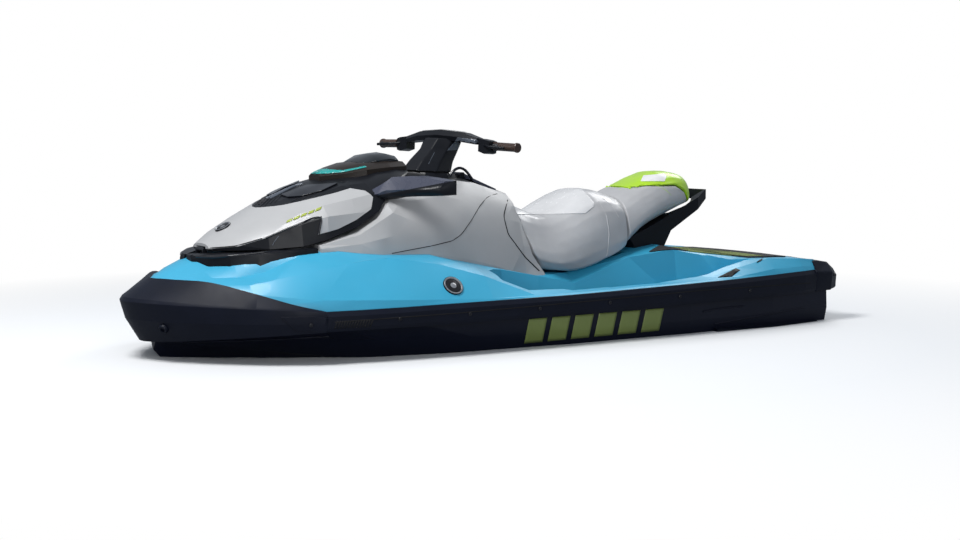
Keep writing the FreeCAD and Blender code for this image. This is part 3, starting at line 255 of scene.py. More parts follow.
colours = {
    "deck": (0.040, 0.372, 0.585), "hull": (0.006, 0.008, 0.019), "bumper": (0.005, 0.007, 0.016),
    "shell": (0.440, 0.442, 0.446), "trim": (0.006, 0.007, 0.010), "gauge": (0.020, 0.015, 0.012),
    "screen": (0.012, 0.016, 0.020), "mirror": (0.060, 0.066, 0.098), "seat": (0.470, 0.472, 0.482),
    "lime": (0.430, 0.720, 0.012), "mat": (0.030, 0.031, 0.034), "tub": (0.018, 0.018, 0.020),
    "engine": (0.30, 0.30, 0.31), "pump": (0.34, 0.35, 0.36), "steel": (0.55, 0.55, 0.56),
    "bar": (0.012, 0.012, 0.014), "grip": (0.055, 0.032, 0.024), "teal": (0.010, 0.330, 0.310),
    # the paler vinyl of the bolster's top is a painted highlight
    "olive": (0.230, 0.290, 0.080), "dash": (0.330, 0.400, 0.030), "dome": (0.680, 0.682, 0.690),
    "seam": (0.004, 0.004, 0.005), "gloss trim": (0.006, 0.007, 0.012), "satin": (0.62, 0.63, 0.65),
    "dark metal": (0.05, 0.05, 0.055), "rubber": (0.012, 0.012, 0.012), "glass": (0.75, 0.78, 0.80),
    "piping": (0.52, 0.52, 0.53), "patch": (0.78, 0.78, 0.78), "pad": (0.085, 0.10, 0.125),
    "start": (0.01, 0.05, 0.015), "stop": (0.07, 0.008, 0.006),
}
# one material for each slot of the record
materials = {
    "hull_navy": gelcoat("hullNavy", colours["hull"], roughness=0.3, coat=0.06, specular=0.25),
    "deck_blue": gelcoat("deckBlue", colours["deck"], roughness=0.36, coat=0.1),
    "bumper_black": moulded("bumperBlack", colours["bumper"], roughness=0.4, grain=0.15, spread=0.1,
                            specular=0.2),
    "shell_grey": moulded("shellGrey", colours["shell"], roughness=0.38, grain=0.08, coat=0.15, spread=0.02),
    "trim_black": moulded("trimBlack", colours["trim"], roughness=0.34, grain=0.015, coat=0.08, spread=0.1,
                          specular=0.22),
    "gauge_brown": moulded("gaugeBrown", colours["gauge"], roughness=0.3, grain=0.05, coat=0.1, spread=0.1,
                           specular=0.25),
    "screen_smoke": smoked("screenSmoke", colours["screen"]),
    "mirror_grey": moulded("mirrorGrey", colours["mirror"], roughness=0.26, grain=0.02, coat=0.3,
                           spread=0.02),
    "seat_grey": vinyl("seatGrey", colours["seat"], roughness=0.3),
    "seat_lime": vinyl("seatLime", colours["lime"], roughness=0.3),
    "mat_dark": groovedFoam("matDark", colours["mat"]),
    "tub_black": moulded("tubBlack", colours["tub"], roughness=0.6, grain=0.4),
    "engine_grey": castMetal("engineGrey", colours["engine"], roughness=0.5),
    "pump_metal": castMetal("pumpMetal", colours["pump"], roughness=0.42),
    "steel": brushedMetal("impellerSteel", colours["steel"], roughness=0.28),
    "bar_black": moulded("barBlack", colours["bar"], roughness=0.32, grain=0.1, coat=0.2),
    "grip_brown": moulded("gripBrown", colours["grip"], roughness=0.42, grain=0.5, coat=0.15),
}
print("materials made:", len(materials))

mergeWithin = {"node": 0.00003, "skin": 0.00005, "turned": 0.00001}  # metres between points that become one
edgeLook = {"flat": 0.5, "segments": 2, "surfaceAngle": 24, "trimAngle": 28}  # angles in degrees


def added(name, data, body):
    piece = bpy.data.objects.new(name, data)
    scene.collection.objects.link(piece)
    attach(piece, body)
    return piece


def newPiece(name, bm, body, material, smooth=35, recalculate=False):
    if recalculate:
        bmesh.ops.recalc_face_normals(bm, faces=bm.faces)
    mesh = bpy.data.meshes.new(name)
    bm.to_mesh(mesh)
    bm.free()
    mesh.polygons.foreach_set("use_smooth", [True] * len(mesh.polygons))
    mesh.set_sharp_from_angle(angle=math.radians(smooth))
    mesh.materials.append(material)
    piece = added(name, mesh, body)
    return piece


def mergedCopy(nodeName, flat):
    bm = bmesh.new()
    bm.from_mesh(nodes[nodeName].data)
    bmesh.ops.remove_doubles(bm, verts=bm.verts, dist=mergeWithin["node"])
    bmesh.ops.dissolve_limit(bm, angle_limit=math.radians(flat), verts=bm.verts, edges=bm.edges)
    return bm


def roundedEdges(piece, width, angle):
    bevel = piece.modifiers.new("edges", "BEVEL")
    bevel.width = width
    bevel.segments = edgeLook["segments"]
    bevel.limit_method = "ANGLE"
    bevel.angle_limit = math.radians(angle)
    bevel.harden_normals = True
    bevel.use_clamp_overlap = True


def dressed(nodeName, width, smooth):
    slotName = slotOf[nodeName]
    piece = newPiece(nodeName + "_surface", mergedCopy(nodeName, edgeLook["flat"]), bodyOf[nodeName],
                     materials[slotName], smooth)
    roundedEdges(piece, width, edgeLook["surfaceAngle"])
    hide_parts(nodeName)
    return piece


# hard pieces: width of the rounded edge in metres, and the degrees past which an edge is shaded sharp
edgeWidths = {
    "hull": (0.003, 14), "deck": (0.003, 13), "bow_bumper": (0.004, 20), "rail_port": (0.003, 20),
    "rail_starboard": (0.003, 20), "stern_step": (0.003, 20), "console_spine": (0.002, 24),
    "glove_lid": (0.002, 20), "chin_grille": (0.002, 20), "hood_vents": (0.002, 30), "hood_frame": (0.002, 24),
    "hood_panel": (0.004, 18), "windshield": (0.001, 60), "grab_handle": (0.006, 30),
    "console_panel_port": (0.005, 14), "console_panel_starboard": (0.005, 14), "gauge_pod": (0.005, 22),
    "mirror_port": (0.004, 30), "mirror_starboard": (0.004, 30), "handlebar_pad": (0.003, 26),
    "control_pod_port": (0.002, 24), "control_pod_starboard": (0.002, 24),
}
surfaces = {name: dressed(name, width, smooth) for name, (width, smooth) in edgeWidths.items()}
print("surfaces dressed:", len(surfaces))

# soft pieces are remeshed in voxels and smoothed
softLook = {"flat": 0.01, "smooth": 180, "factor": 0.5}


def applied(piece):
    graph = bpy.context.evaluated_depsgraph_get()
    made = bpy.data.meshes.new_from_object(piece.evaluated_get(graph))
    piece.modifiers.clear()
    piece.data = made
    made.polygons.foreach_set("use_smooth", [True] * len(made.polygons))


def remeshed(nodeName, name, voxel, turns):
    slotName = slotOf[nodeName]
    piece = newPiece(name, mergedCopy(nodeName, softLook["flat"]), bodyOf[nodeName], materials[slotName],
                     softLook["smooth"])
    voxels = piece.modifiers.new("voxels", "REMESH")
    voxels.mode = "VOXEL"
    voxels.voxel_size = voxel
    soft = piece.modifiers.new("soft", "SMOOTH")
    soft.factor = softLook["factor"]
    soft.iterations = turns
    applied(piece)
    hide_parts(nodeName)
    return piece


softShapes = {  # voxel in metres, and turns of smoothing
    "stern_bumper_port": {"voxel": 0.005, "turns": 4}, "stern_bumper_starboard": {"voxel": 0.005, "turns": 4},
    "steering_neck": {"voxel": 0.0035, "turns": 5},
}
for name, softShape in softShapes.items():
    surfaces[name] = remeshed(name, name + "_surface", **softShape)
print("soft mouldings made:", len(softShapes))

# seat cushions: slightly smaller start, swelled by cloth pressure as far as the cap, then one subdivision
cushions = {"seat_front": {"voxel": 0.0085, "inset": 0.009, "cap": 0.0115},
            "seat_rear": {"voxel": 0.0075, "inset": 0.008, "cap": 0.010},
            "seat_end": {"voxel": 0.006, "inset": 0.006, "cap": 0.008}}
clothLook = {"turns": 6, "quality": 4, "pressure": 4.0, "stiffness": 12, "bending": 0.6, "steps": 20,
             "evening": 60, "ownShare": 0.5, "division": 1}


def evened(mesh, amounts):
    # each vertex shares its amount with its neighbours, so that no wrinkle stays
    pairs = numpy.array([tuple(edge.vertices) for edge in mesh.edges])
    first, second = pairs[:, 0], pairs[:, 1]
    degree = numpy.bincount(pairs.ravel(), minlength=len(amounts))
    share = clothLook["ownShare"]
    for turn in range(clothLook["evening"]):
        around = (numpy.bincount(first, amounts[second], len(amounts)) +
                  numpy.bincount(second, amounts[first], len(amounts)))
        amounts = share * amounts + (1 - share) * around / degree
    return amounts


def swelled(piece, cap):
    mesh = piece.data
    start = [vertex.co.copy() for vertex in mesh.vertices]
    normals = [vertex.normal.copy() for vertex in mesh.vertices]
    cloth = piece.modifiers.new("cloth", "CLOTH")
    cloth.settings.quality = clothLook["quality"]
    cloth.settings.use_pressure = True
    cloth.settings.uniform_pressure_force = clothLook["pressure"]
    cloth.settings.effector_weights.gravity = 0
    cloth.settings.tension_stiffness = clothLook["stiffness"]
    cloth.settings.compression_stiffness = clothLook["stiffness"]
    cloth.settings.bending_stiffness = clothLook["bending"]
    cloth.collision_settings.use_collision = False
    for step in range(1, clothLook["steps"] + 1):
        scene.frame_set(step)
    graph = bpy.context.evaluated_depsgraph_get()
    moved = [vertex.co.copy() for vertex in piece.evaluated_get(graph).data.vertices]
    piece.modifiers.remove(cloth)
    scene.frame_set(1)
    amounts = numpy.array([min(cap, max(0.0, (new - old).dot(normal)))
                           for old, new, normal in zip(start, moved, normals)])
    for vertex, old, normal, amount in zip(mesh.vertices, start, normals, evened(mesh, amounts)):
        vertex.co = old + normal * float(amount)
    mesh.update()


def cushioned(nodeName, voxel, inset, cap):
    piece = remeshed(nodeName, nodeName + "_cover", voxel, clothLook["turns"])
    mesh = piece.data
    normals = [vertex.normal.copy() for vertex in mesh.vertices]
    for vertex, normal in zip(mesh.vertices, normals):
        vertex.co -= normal * inset
    mesh.update()
    swelled(piece, cap)
    division = piece.modifiers.new("division", "SUBSURF")
    division.levels = division.render_levels = clothLook["division"]
    applied(piece)
    return piece


for name, cushion in cushions.items():
    surfaces[name] = cushioned(name, **cushion)
    print("cushion made:", name, len(surfaces[name].data.polygons))

# the photograph's camera: ahead and down are its turns in degrees; fade is where the floor goes white, in
# metres from the origin
studio = {"lens": 60, "sensor": 36, "width": 960, "height": 540, "camera": (3.743105, 5.950225, 0.905),
          "ahead": 32, "down": 5.1605, "floor": (0.86, 0.87, 0.88), "floorSize": 60, "floorRoughness": 0.7,
          "sky": (0.76, 0.83, 0.93), "skyPower": 0.36, "backdrop": (1, 1, 1), "bounce": (0.22, 0.24, 0.27),
          "fade": (1.9, 3.6), "aim": (0.2, 0, 0.4)}
ahead, down = math.radians(studio["ahead"]), math.radians(studio["down"])
look = Vector((-math.sin(ahead) * math.cos(down), -math.cos(ahead) * math.cos(down), -math.sin(down)))
across = look.cross(Vector((0, 0, 1))).normalized()
upward = across.cross(look)
focal = studio["lens"] / studio["sensor"] * studio["width"]
plainSights = {"above": 3, "behind": -4}  # metres from the origin to where the straight looks start


def photoSight(u, v):
    # pixels of the photograph, read across and down
    aside, below = u - studio["width"] / 2, v - studio["height"] / 2
    return Vector(studio["camera"]), (look * focal + across * aside - upward * below).normalized()


def topSight(x, y):
    return Vector((x, y, plainSights["above"])), Vector((0, 0, -1))


def rearSight(y, z):
    return Vector((plainSights["behind"], y, z)), Vector((1, 0, 0))


sights = {"photo": photoSight, "top": topSight, "rear": rearSight}
drapeSteps = {"photo": 4, "top": 0.02, "rear": 0.02}  # pixels for the photograph, metres for the others
beadSteps = {"photo": 7, "top": 0.03}


def treeOf(*names):
    points, faces = [], []
    for name in names:
        mesh = surfaces[name].data if name in surfaces else nodes[name].data
        start = len(points)
        points += [vertex.co.copy() for vertex in mesh.vertices]
        faces += [[start + index for index in polygon.vertices] for polygon in mesh.polygons]
    return BVHTree.FromPolygons(points, faces)


# what a look can land on
trees = {
    "deck": treeOf("deck", "platform_mat"),
    "bare deck": treeOf("deck"),
    "mat": treeOf("platform_mat"),
    "console": treeOf("console_panel_port", "console_spine"),
    "hood": treeOf("hood_panel", "hood_frame", "hood_vents"),
    "cowl": treeOf("gauge_pod", "hood_frame"),
    "vents": treeOf("hood_vents"),
    "seat": treeOf("seat_front", "seat_rear", "seat_end"),
    "hull": treeOf("hull"),
    "bumper": treeOf("bow_bumper", "rail_port", "hull"),
    "rail": treeOf("rail_port"),
    "mirror": treeOf("mirror_port"),
    "pad": treeOf("handlebar_pad", "steering_neck"),
    "pods": treeOf("control_pod_port", "control_pod_starboard"),
    "chin": treeOf("chin_grille", "hood_frame"),
    "stern": treeOf("stern_bumper_port", "stern_step", "hull"),
    "seam": treeOf("console_panel_port", "console_spine", "seat_front"),
    "step": treeOf("stern_step"),
}


def landed(tree, u, v, sight, lift=0.0):
    start, direction = sights[sight](u, v)
    place, normal = trees[tree].ray_cast(start, direction)[:2]
    if place is None:
        return None, None
    if normal.dot(direction) > 0:
        normal = -normal
    return place + normal * lift, normal


def mirroredTwin(bm):
    made = bmesh.ops.duplicate(bm, geom=list(bm.verts) + list(bm.edges) + list(bm.faces))["geom"]
    for vertex in [item for item in made if isinstance(item, bmesh.types.BMVert)]:
        vertex.co.y = -vertex.co.y
    bmesh.ops.reverse_faces(bm, faces=[item for item in made if isinstance(item, bmesh.types.BMFace)])


def joined(whole, bm):
    mesh = bpy.data.meshes.new("part")
    bm.to_mesh(mesh)
    bm.free()
    whole.from_mesh(mesh)
    bpy.data.meshes.remove(mesh)


def thickened(piece, thickness):
    solid = piece.modifiers.new("solid", "SOLIDIFY")
    solid.thickness = thickness
    solid.offset = 1


def divided(bm, outline, step, turns=8):
    face = bm.faces.new([bm.verts.new((u, v, 0)) for u, v in outline])
    bmesh.ops.triangulate(bm, faces=[face])
    for turn in range(turns):
        longEdges = [edge for edge in bm.edges if edge.calc_length() > step]
        if not longEdges:
            break
        bmesh.ops.subdivide_edges(bm, edges=longEdges, cuts=1)
        bmesh.ops.triangulate(bm, faces=[face for face in bm.faces if len(face.verts) > 3])


def draped(name, outlines, tree, body, material, sight="photo", lift=0.0006, thickness=0.0012, step=None,
           twin=True, rounding=0.0):
    # flat outlines of a look, laid on what the look lands on and given a thickness
    whole = bmesh.new()
    for outline in outlines:
        bm = bmesh.new()
        divided(bm, outline, step or drapeSteps[sight])
        lost = []
        for vertex in bm.verts:
            place = landed(tree, vertex.co.x, vertex.co.y, sight, lift)[0]
            if place is None:
                lost.append(vertex)
            else:
                vertex.co = place
        bmesh.ops.delete(bm, geom=lost, context="VERTS")
        bm.normal_update()
        direction = sights[sight](*outline[0])[1]
        if sum(face.normal.dot(direction) * face.calc_area() for face in bm.faces) > 0:
            bmesh.ops.reverse_faces(bm, faces=list(bm.faces))
        joined(whole, bm)
    if twin:
        mirroredTwin(whole)
    piece = newPiece(name, whole, body, material)
    thickened(piece, thickness)
    if rounding:
        roundedEdges(piece, rounding, edgeLook["trimAngle"])


def skin(name, source, lines, body, material, lift=0.0004, thickness=0.0012):
    # port half of a surface, kept above each line of the photograph that is read left to right, and its twin
    graph = bpy.context.evaluated_depsgraph_get()
    made = bpy.data.meshes.new_from_object(surfaces[source].evaluated_get(graph))
    bm = bmesh.new()
    bm.from_mesh(made)
    bpy.data.meshes.remove(made)
    cuts = [(Vector((0, 0, 0)), Vector((0, -1, 0)))]
    for left, right in lines:
        first, second = photoSight(*left)[1], photoSight(*right)[1]
        cuts.append((Vector(studio["camera"]), first.cross(second).normalized()))
    for place, outward in cuts:
        bmesh.ops.bisect_plane(bm, geom=list(bm.verts) + list(bm.edges) + list(bm.faces), plane_co=place,
                               plane_no=outward, clear_outer=True)
    bm.normal_update()
    for vertex in bm.verts:
        vertex.co += vertex.normal * lift
        vertex.co.y = max(vertex.co.y, 0.0)
    mirroredTwin(bm)
    bmesh.ops.remove_doubles(bm, verts=bm.verts, dist=mergeWithin["skin"])
    thickened(newPiece(name, bm, body, material), thickness)


tubeLook = {"bevel": 3, "resolution": 6, "order": 3}


def tube(name, runs, radius, body, material, twin=False, closed=False):
    curve = bpy.data.curves.new(name, "CURVE")
    curve.dimensions = "3D"
    curve.bevel_depth = radius
    curve.bevel_resolution = tubeLook["bevel"]
    curve.use_fill_caps = not closed
    curve.resolution_u = tubeLook["resolution"]
    if twin:
        runs = runs + [[(x, -y, z) for x, y, z in run] for run in runs]
    for run in runs:
        spline = curve.splines.new("NURBS")
        spline.points.add(len(run) - 1)
        for point, place in zip(spline.points, run):
            point.co = (*place, 1)
        spline.use_cyclic_u = closed
        spline.use_endpoint_u = not closed
        spline.order_u = tubeLook["order"]
    curve.materials.append(material)
    added(name, curve, body)


def spread(points, step):
    made = [points[0]]
    for (u, v), (uEnd, vEnd) in zip(points, points[1:]):
        count = max(1, round(math.hypot(uEnd - u, vEnd - v) / step))
        made += [(u + (uEnd - u) * k / count, v + (vEnd - v) * k / count) for k in range(1, count + 1)]
    return made


def bead(name, lines, tree, body, material, radius, sight="photo", twin=True):
    # a round bead along lines of a look, sunk to its middle in what the look lands on
    runs = []
    for line in lines:
        hits = [landed(tree, u, v, sight)[0] for u, v in spread(line, beadSteps[sight])]
        run = [tuple(place) for place in hits if place is not None]
        if len(run) > 1:
            runs.append(run)
    tube(name, runs, radius, body, material, twin)


def turnedOn(bm, profile, place, axis, steps):
    # a profile of radius and height, spun about an axis through a place
    axis = Vector(axis).normalized()
    turn = Matrix.Translation(place) @ axis.to_track_quat("Z", "Y").to_matrix().to_4x4()
    points = [bm.verts.new(turn @ Vector((radius, 0, height))) for radius, height in profile]
    edges = [bm.edges.new(pair) for pair in zip(points, points[1:])]
    bmesh.ops.spin(bm, geom=points + edges, cent=place, axis=axis, angle=2 * math.pi, steps=steps,
                   use_merge=True)
    bmesh.ops.remove_doubles(bm, verts=bm.verts, dist=mergeWithin["turned"])


def studs(name, places, profile, body, material, steps=20, twin=False):
    bm = bmesh.new()
    if twin:
        places = places + [((x, -y, z), (nx, -ny, nz)) for (x, y, z), (nx, ny, nz) in places]
    for place, axis in places:
        single = bmesh.new()
        turnedOn(single, profile, Vector(place), axis, steps)
        joined(bm, single)
    newPiece(name, bm, body, material, recalculate=True)


def seatsOn(spots, tree, sight="photo", lift=0.0):
    # where the spots of a look land, and which way the surface faces there
    found = [landed(tree, u, v, sight, lift) for u, v in spots]
    return [(tuple(place), tuple(normal)) for place, normal in found if place is not None]


def slanted(left, right, count, gap, bottom, top, lean):
    # plain slanted bars between two edges, each edge given by its heights at the left and the right end
    def level(u, ends):
        return ends[0] + (ends[1] - ends[0]) * (u - left) / (right - left)

    bars = []
    pitch = (right - left) / count
    for number in range(count):
        start = left + pitch * number
        end = start + pitch * (1 - gap)
        bars.append([(start, level(start, bottom)), (end, level(end, bottom)),
                     (end + lean, level(end, top)), (start + lean, level(start, top))])
    return bars


def rowOfLines(foot, footStep, head, headStep, count):
    return [[(foot[0] + footStep[0] * k, foot[1] + footStep[1] * k),
             (head[0] + headStep[0] * k, head[1] + headStep[1] * k)] for k in range(count)]


def placed(stage, pieces):
    # each piece's dictionary names the function that makes it and what that function is given
    for name, piece in pieces.items():
        settings = dict(piece)
        make = settings.pop("make")
        make(name, **settings)
    print(stage, "made:", ", ".join(pieces))


def middleOf(name):
    lowest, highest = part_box(name)
    return (Vector(lowest) + Vector(highest)) / 2


craft = bodyOf["deck"]
hoodBody = bodyOf["hood_panel"]
steeringBody = bodyOf["handlebar"]
seatBody = bodyOf["seat_front"]

# finishes of the small trim
# seamLine also paints the shade inside the deck's slots
trimLine = moulded("seamLine", colours["seam"], roughness=0.6, grain=0.1)
glossBlack = moulded("glossTrim", colours["gloss trim"], roughness=0.12, grain=0.02, coat=0.6)
dashPaint = gelcoat("dashPaint", colours["dash"], roughness=0.4, coat=0.05)
olivePaint = gelcoat("olivePaint", colours["olive"], roughness=0.34, coat=0.2)
tealPaint = gelcoat("tealPaint", colours["teal"], roughness=0.25, coat=0.4)
satinMetal = brushedMetal("satinMetal", colours["satin"], roughness=0.3)
darkMetal = castMetal("darkMetal", colours["dark metal"], roughness=0.35)
rubber = moulded("rubberBlack", colours["rubber"], roughness=0.7, grain=0.5)
mirrorGlass = silvered("mirrorGlass", colours["glass"])
limeFoam = groovedFoam("limeFoam", colours["olive"])
pipingGrey = vinyl("pipingGrey", colours["piping"], roughness=0.35)
# a paler vinyl that paints the highlight on the bolster's top
paintedHighlightVinyl = vinyl("paintedHighlightVinyl", colours["dome"], roughness=0.24)
patchPale = vinyl("patchPale", colours["patch"], roughness=0.4)
# padGrey also paints the highlight lines along the neck and the scoop
padGrey = moulded("padGrey", colours["pad"], roughness=0.3, grain=0.05, coat=0.3)
gripRubber = moulded("gripRubber", colours["grip"], roughness=0.3, grain=0.2, coat=0.4)

# in the dictionaries below, outlines, lines and spots are pixels of the photograph where no sight is named,
# x and y in metres where the sight is top, and y and z in metres where it is rear
placed("hood details", {
    "hood_dashes": {"make": draped, "tree": "hood", "body": hoodBody, "material": dashPaint, "lift": 0.001,
                    "thickness": 0.0006, "step": 2,
                    "outlines": slanted(left=286, right=322, count=5, gap=0.2, bottom=(223.2, 209.2),
                                        top=(220.4, 206.0), lean=1.5)},
    "cowl_stripe": {"make": draped, "tree": "cowl", "body": hoodBody, "material": tealPaint, "step": 3,
                    "outlines": [[(312, 174), (319.8, 168.6), (321.5, 171), (343, 170.4), (366, 166),
                                  (366.5, 167.4), (343, 172.4), (325, 173.8)]]},
    "vent_panel": {"make": draped, "tree": "vents", "body": hoodBody, "material": glossBlack,
                   "thickness": 0.006, "rounding": 0.002,
                   "outlines": [[(281, 195.5), (307, 186), (338, 184.2), (323, 191.2), (302, 197),
                                 (288, 198)]]},
    "vent_rib": {"make": bead, "tree": "vents", "body": hoodBody, "material": padGrey, "radius": 0.006,
                 "lines": [[(270, 199), (277, 195), (290, 188.4), (300, 184)]]},
    "vent_louvres": {"make": bead, "tree": "vents", "body": hoodBody, "material": darkMetal, "radius": 0.0024,
                     "lines": rowOfLines((255, 208.4), (5, -1.5), (263, 201), (5.2, -1.9), 5) +
                              rowOfLines((292, 201.5), (6, -1.6), (298, 198.2), (6, -1.7), 4)},
    "scoop_edge": {"make": bead, "tree": "hood", "body": hoodBody, "material": glossBlack, "radius": 0.0045,
                   "lines": [[(266, 238), (284, 230), (302, 223), (314, 217.6), (322, 217.4), (318.6, 234)]]},
    # a lighter line painted along the crease as its highlight
    "scoop_crease": {"make": bead, "tree": "hood", "body": hoodBody, "material": padGrey, "radius": 0.0014,
                     "lines": [[(272.5, 245.5), (275, 240), (279, 236)]]},
    "panel_rim": {"make": bead, "tree": "hood", "body": hoodBody, "material": trimLine, "radius": 0.002,
                  "lines": [[(208, 248.2), (236, 246), (262, 238.4)]]},
})

# badges: plain turned discs; a profile's radius is a share of the badge's size, its height is in metres
badgeParts = {
    "base": {"material": darkMetal, "profile": [(0, 0.0045), (0.72, 0.0045), (0.76, 0.0035), (0.86, 0.0035),
                                                (0.9, 0.006), (0.97, 0.006), (1, 0.0035), (1, -0.002)]},
    "face": {"material": satinMetal, "profile": [(0, 0.0062), (0.2, 0.006), (0.3, 0.0046)]},
    "ring": {"material": satinMetal, "profile": [(0.78, 0.0035), (0.83, 0.0066), (0.93, 0.0068),
                                                (0.99, 0.0035)]},
}
badges = {
    "nose": {"places": seatsOn([(1.235, 0.0)], "hood", "top"), "size": 0.034, "steps": 40, "body": hoodBody,
             "twin": False},
    "side": {"places": seatsOn([(453, 286)], "deck"), "size": 0.043, "steps": 40, "body": craft,
             "twin": True},
}
for name, badge in badges.items():
    for part, shape in badgeParts.items():
        studs(name + "_badge_" + part, badge["places"],
              [(radius * badge["size"], height) for radius, height in shape["profile"]], badge["body"],
              shape["material"], badge["steps"], badge["twin"])
print("badges made:", ", ".join(badges))

# bow and rails: boss, plate with its bolt, hatch, chine, chin lip, plugs and groove of the rub rail
boltHead = [(0, 0.003), (0.003, 0.003), (0.0034, 0.0046), (0.0058, 0.0042), (0.0074, 0.0026), (0.0078, 0),
            (0.0078, -0.002)]
bossHead = [(0, 0.004), (0.008, 0.004), (0.0095, 0.012), (0.016, 0.012), (0.019, 0.008), (0.02, -0.004)]
plugSpots = [(400, 319), (470, 314), (540, 308.5), (610, 302.5), (680, 296.5), (750, 290.5)]
placed("bow and rail details", {
    "bow_boss": {"make": studs, "body": craft, "material": materials["bumper_black"], "profile": bossHead,
                 "places": seatsOn([(164, 328.5)], "bumper"), "steps": 32, "twin": True},
    "rail_front_plate": {"make": draped, "tree": "bumper", "body": craft,
                         "material": materials["bumper_black"], "thickness": 0.004, "rounding": 0.0015,
                         "outlines": [[(281, 317), (297, 331), (330, 331), (332, 319), (316, 316.4)]]},
    "rail_front_bolt": {"make": studs, "body": craft, "material": darkMetal, "profile": boltHead,
                        "places": seatsOn([(311, 325)], "bumper", lift=0.005), "steps": 24, "twin": True},
    "rail_hatch": {"make": draped, "tree": "rail", "body": craft, "material": trimLine, "thickness": 0.0012,
                   "step": 6, "outlines": slanted(left=334, right=372, count=14, gap=0.5, bottom=(329, 327),
                                                  top=(321, 319.4), lean=3)},
    "chine_line": {"make": bead, "tree": "hull", "body": craft, "material": materials["hull_navy"],
                   "radius": 0.004, "lines": [[(187, 342), (240, 341), (290, 338.8), (329, 336.4)],
                                              [(703, 311.5), (722, 308), (744, 306)],
                                              [(714, 324), (750, 317.5), (778, 312), (804, 307.5)]]},
    "chin_lip": {"make": bead, "tree": "chin", "body": craft, "material": glossBlack, "radius": 0.004,
                 "lines": [[(196, 257), (215, 257.6), (240, 255), (288, 249.6)]]},
    "rail_plugs": {"make": studs, "body": craft, "material": darkMetal, "profile": boltHead,
                   "places": seatsOn(plugSpots, "rail"), "twin": True},
    "rail_groove": {"make": bead, "tree": "rail", "body": craft, "material": trimLine, "radius": 0.0022,
                    "lines": [[(335, 322.4), (460, 313), (600, 300.2), (700, 290.6), (810, 283)]]},
})

# hull and deck: plain slanted bars for the large word, dark sheets painted as the shade in the deck's slots,
# pads behind the seat, inlay of the mat
placed("hull and deck details", {
    "hull_bars": {"make": draped, "tree": "hull", "body": craft, "material": olivePaint, "thickness": 0.0006,
                  "outlines": slanted(left=524, right=664, count=6, gap=0.22, bottom=(343.5, 330),
                                      top=(319, 307.6), lean=5)},
    # dark sheets painted as the shade inside the deck's slots
    "deck_slots": {"make": draped, "tree": "deck", "body": craft, "material": trimLine, "thickness": 0.001,
                   "step": 3, "outlines": [[(717.5, 277.6), (735.6, 268.4), (740.2, 270.2), (731.2, 277)],
                                           [(756.4, 262.2), (763.2, 257.6), (762.4, 260.2), (757.4, 262.8)]]},
    "rear_pads": {"make": draped, "tree": "bare deck", "body": craft, "material": materials["mat_dark"],
                  "sight": "top", "thickness": 0.004, "rounding": 0.001,
                  "outlines": [[(-0.72, 0.246), (-0.815, 0.192), (-0.925, 0.192), (-0.925, 0.274),
                                (-0.82, 0.264)]]},
    "rear_pads_lime": {"make": draped, "tree": "bare deck", "body": craft, "material": limeFoam,
                       "sight": "top", "thickness": 0.004, "rounding": 0.001,
                       "outlines": [[(-0.94, 0.192), (-1.02, 0.10), (-1.135, 0.10), (-1.15, 0.20),
                                     (-1.18, 0.28), (-0.94, 0.276)]]},
    "platform_inlay": {"make": draped, "tree": "mat", "body": craft, "material": limeFoam, "sight": "top",
                       "thickness": 0.0015, "twin": False,
                       "outlines": [[(-1.18, -0.16), (-1.225, -0.33), (-1.33, -0.33), (-1.33, 0.33),
                                     (-1.225, 0.33), (-1.18, 0.16)]]},
})

# console and seat: seams, piping, a paler panel painted on the bolster as its highlight, the blank patch
placed("console and seat details", {
    "console_seam": {"make": bead, "tree": "console", "body": craft, "material": trimLine, "radius": 0.0017,
                     "lines": [[(497, 193.8), (488, 196), (479, 207), (471, 221), (461, 235), (452, 241),
                                (431, 246), (392, 253.4)]]},
    "seat_gap_line": {"make": bead, "tree": "seam", "body": craft, "material": trimLine, "radius": 0.0026,
                      "lines": [[(507.5, 200), (503.5, 216), (508, 234), (525, 257), (544, 275.5)]]},
    "seat_piping": {"make": bead, "tree": "seat", "body": seatBody, "material": pipingGrey, "radius": 0.0026,
                    "lines": [[(598.6, 201.5), (606.6, 216), (609.2, 233), (608, 250), (605, 263)]]},
    "seat_fold": {"make": bead, "tree": "seat", "body": seatBody, "material": pipingGrey, "radius": 0.0022,
                  "lines": [[(602.5, 198.5), (611, 205), (619, 217.5)]]},
    "seat_hem": {"make": bead, "tree": "seat", "body": seatBody, "material": pipingGrey, "radius": 0.002,
                 "lines": [[(512, 238), (527, 258.5), (544, 274), (562, 279), (590, 271), (612, 259.5),
                            (630, 249)]]},
    "lime_seam": {"make": bead, "tree": "seat", "body": seatBody, "material": materials["seat_lime"],
                  "radius": 0.0015, "lines": [[(619, 189.6), (633.4, 185.4), (657, 185), (668, 191.6),
                                               (673, 198), (674.6, 205)]]},
    # a paler skin painted on the bolster's top as its highlight
    "seat_dome_panel": {"make": skin, "source": "seat_front", "body": seatBody, "material": paintedHighlightVinyl,
                        "thickness": 0.0016,
                        "lines": [((526, 214.6), (593, 213.4)), ((584, 214.6), (593.5, 207)),
                                  ((593, 214), (594.5, 196)), ((594, 203), (579, 186))]},
    "seat_patch": {"make": draped, "tree": "seat", "body": seatBody, "material": patchPale, "twin": False,
                   "thickness": 0.0012, "rounding": 0.0006,
                   "outlines": [[(640.5, 181.4), (643.5, 175.6), (664, 173.8), (666.4, 176.4),
                                 (664.6, 181.4)]]},
})

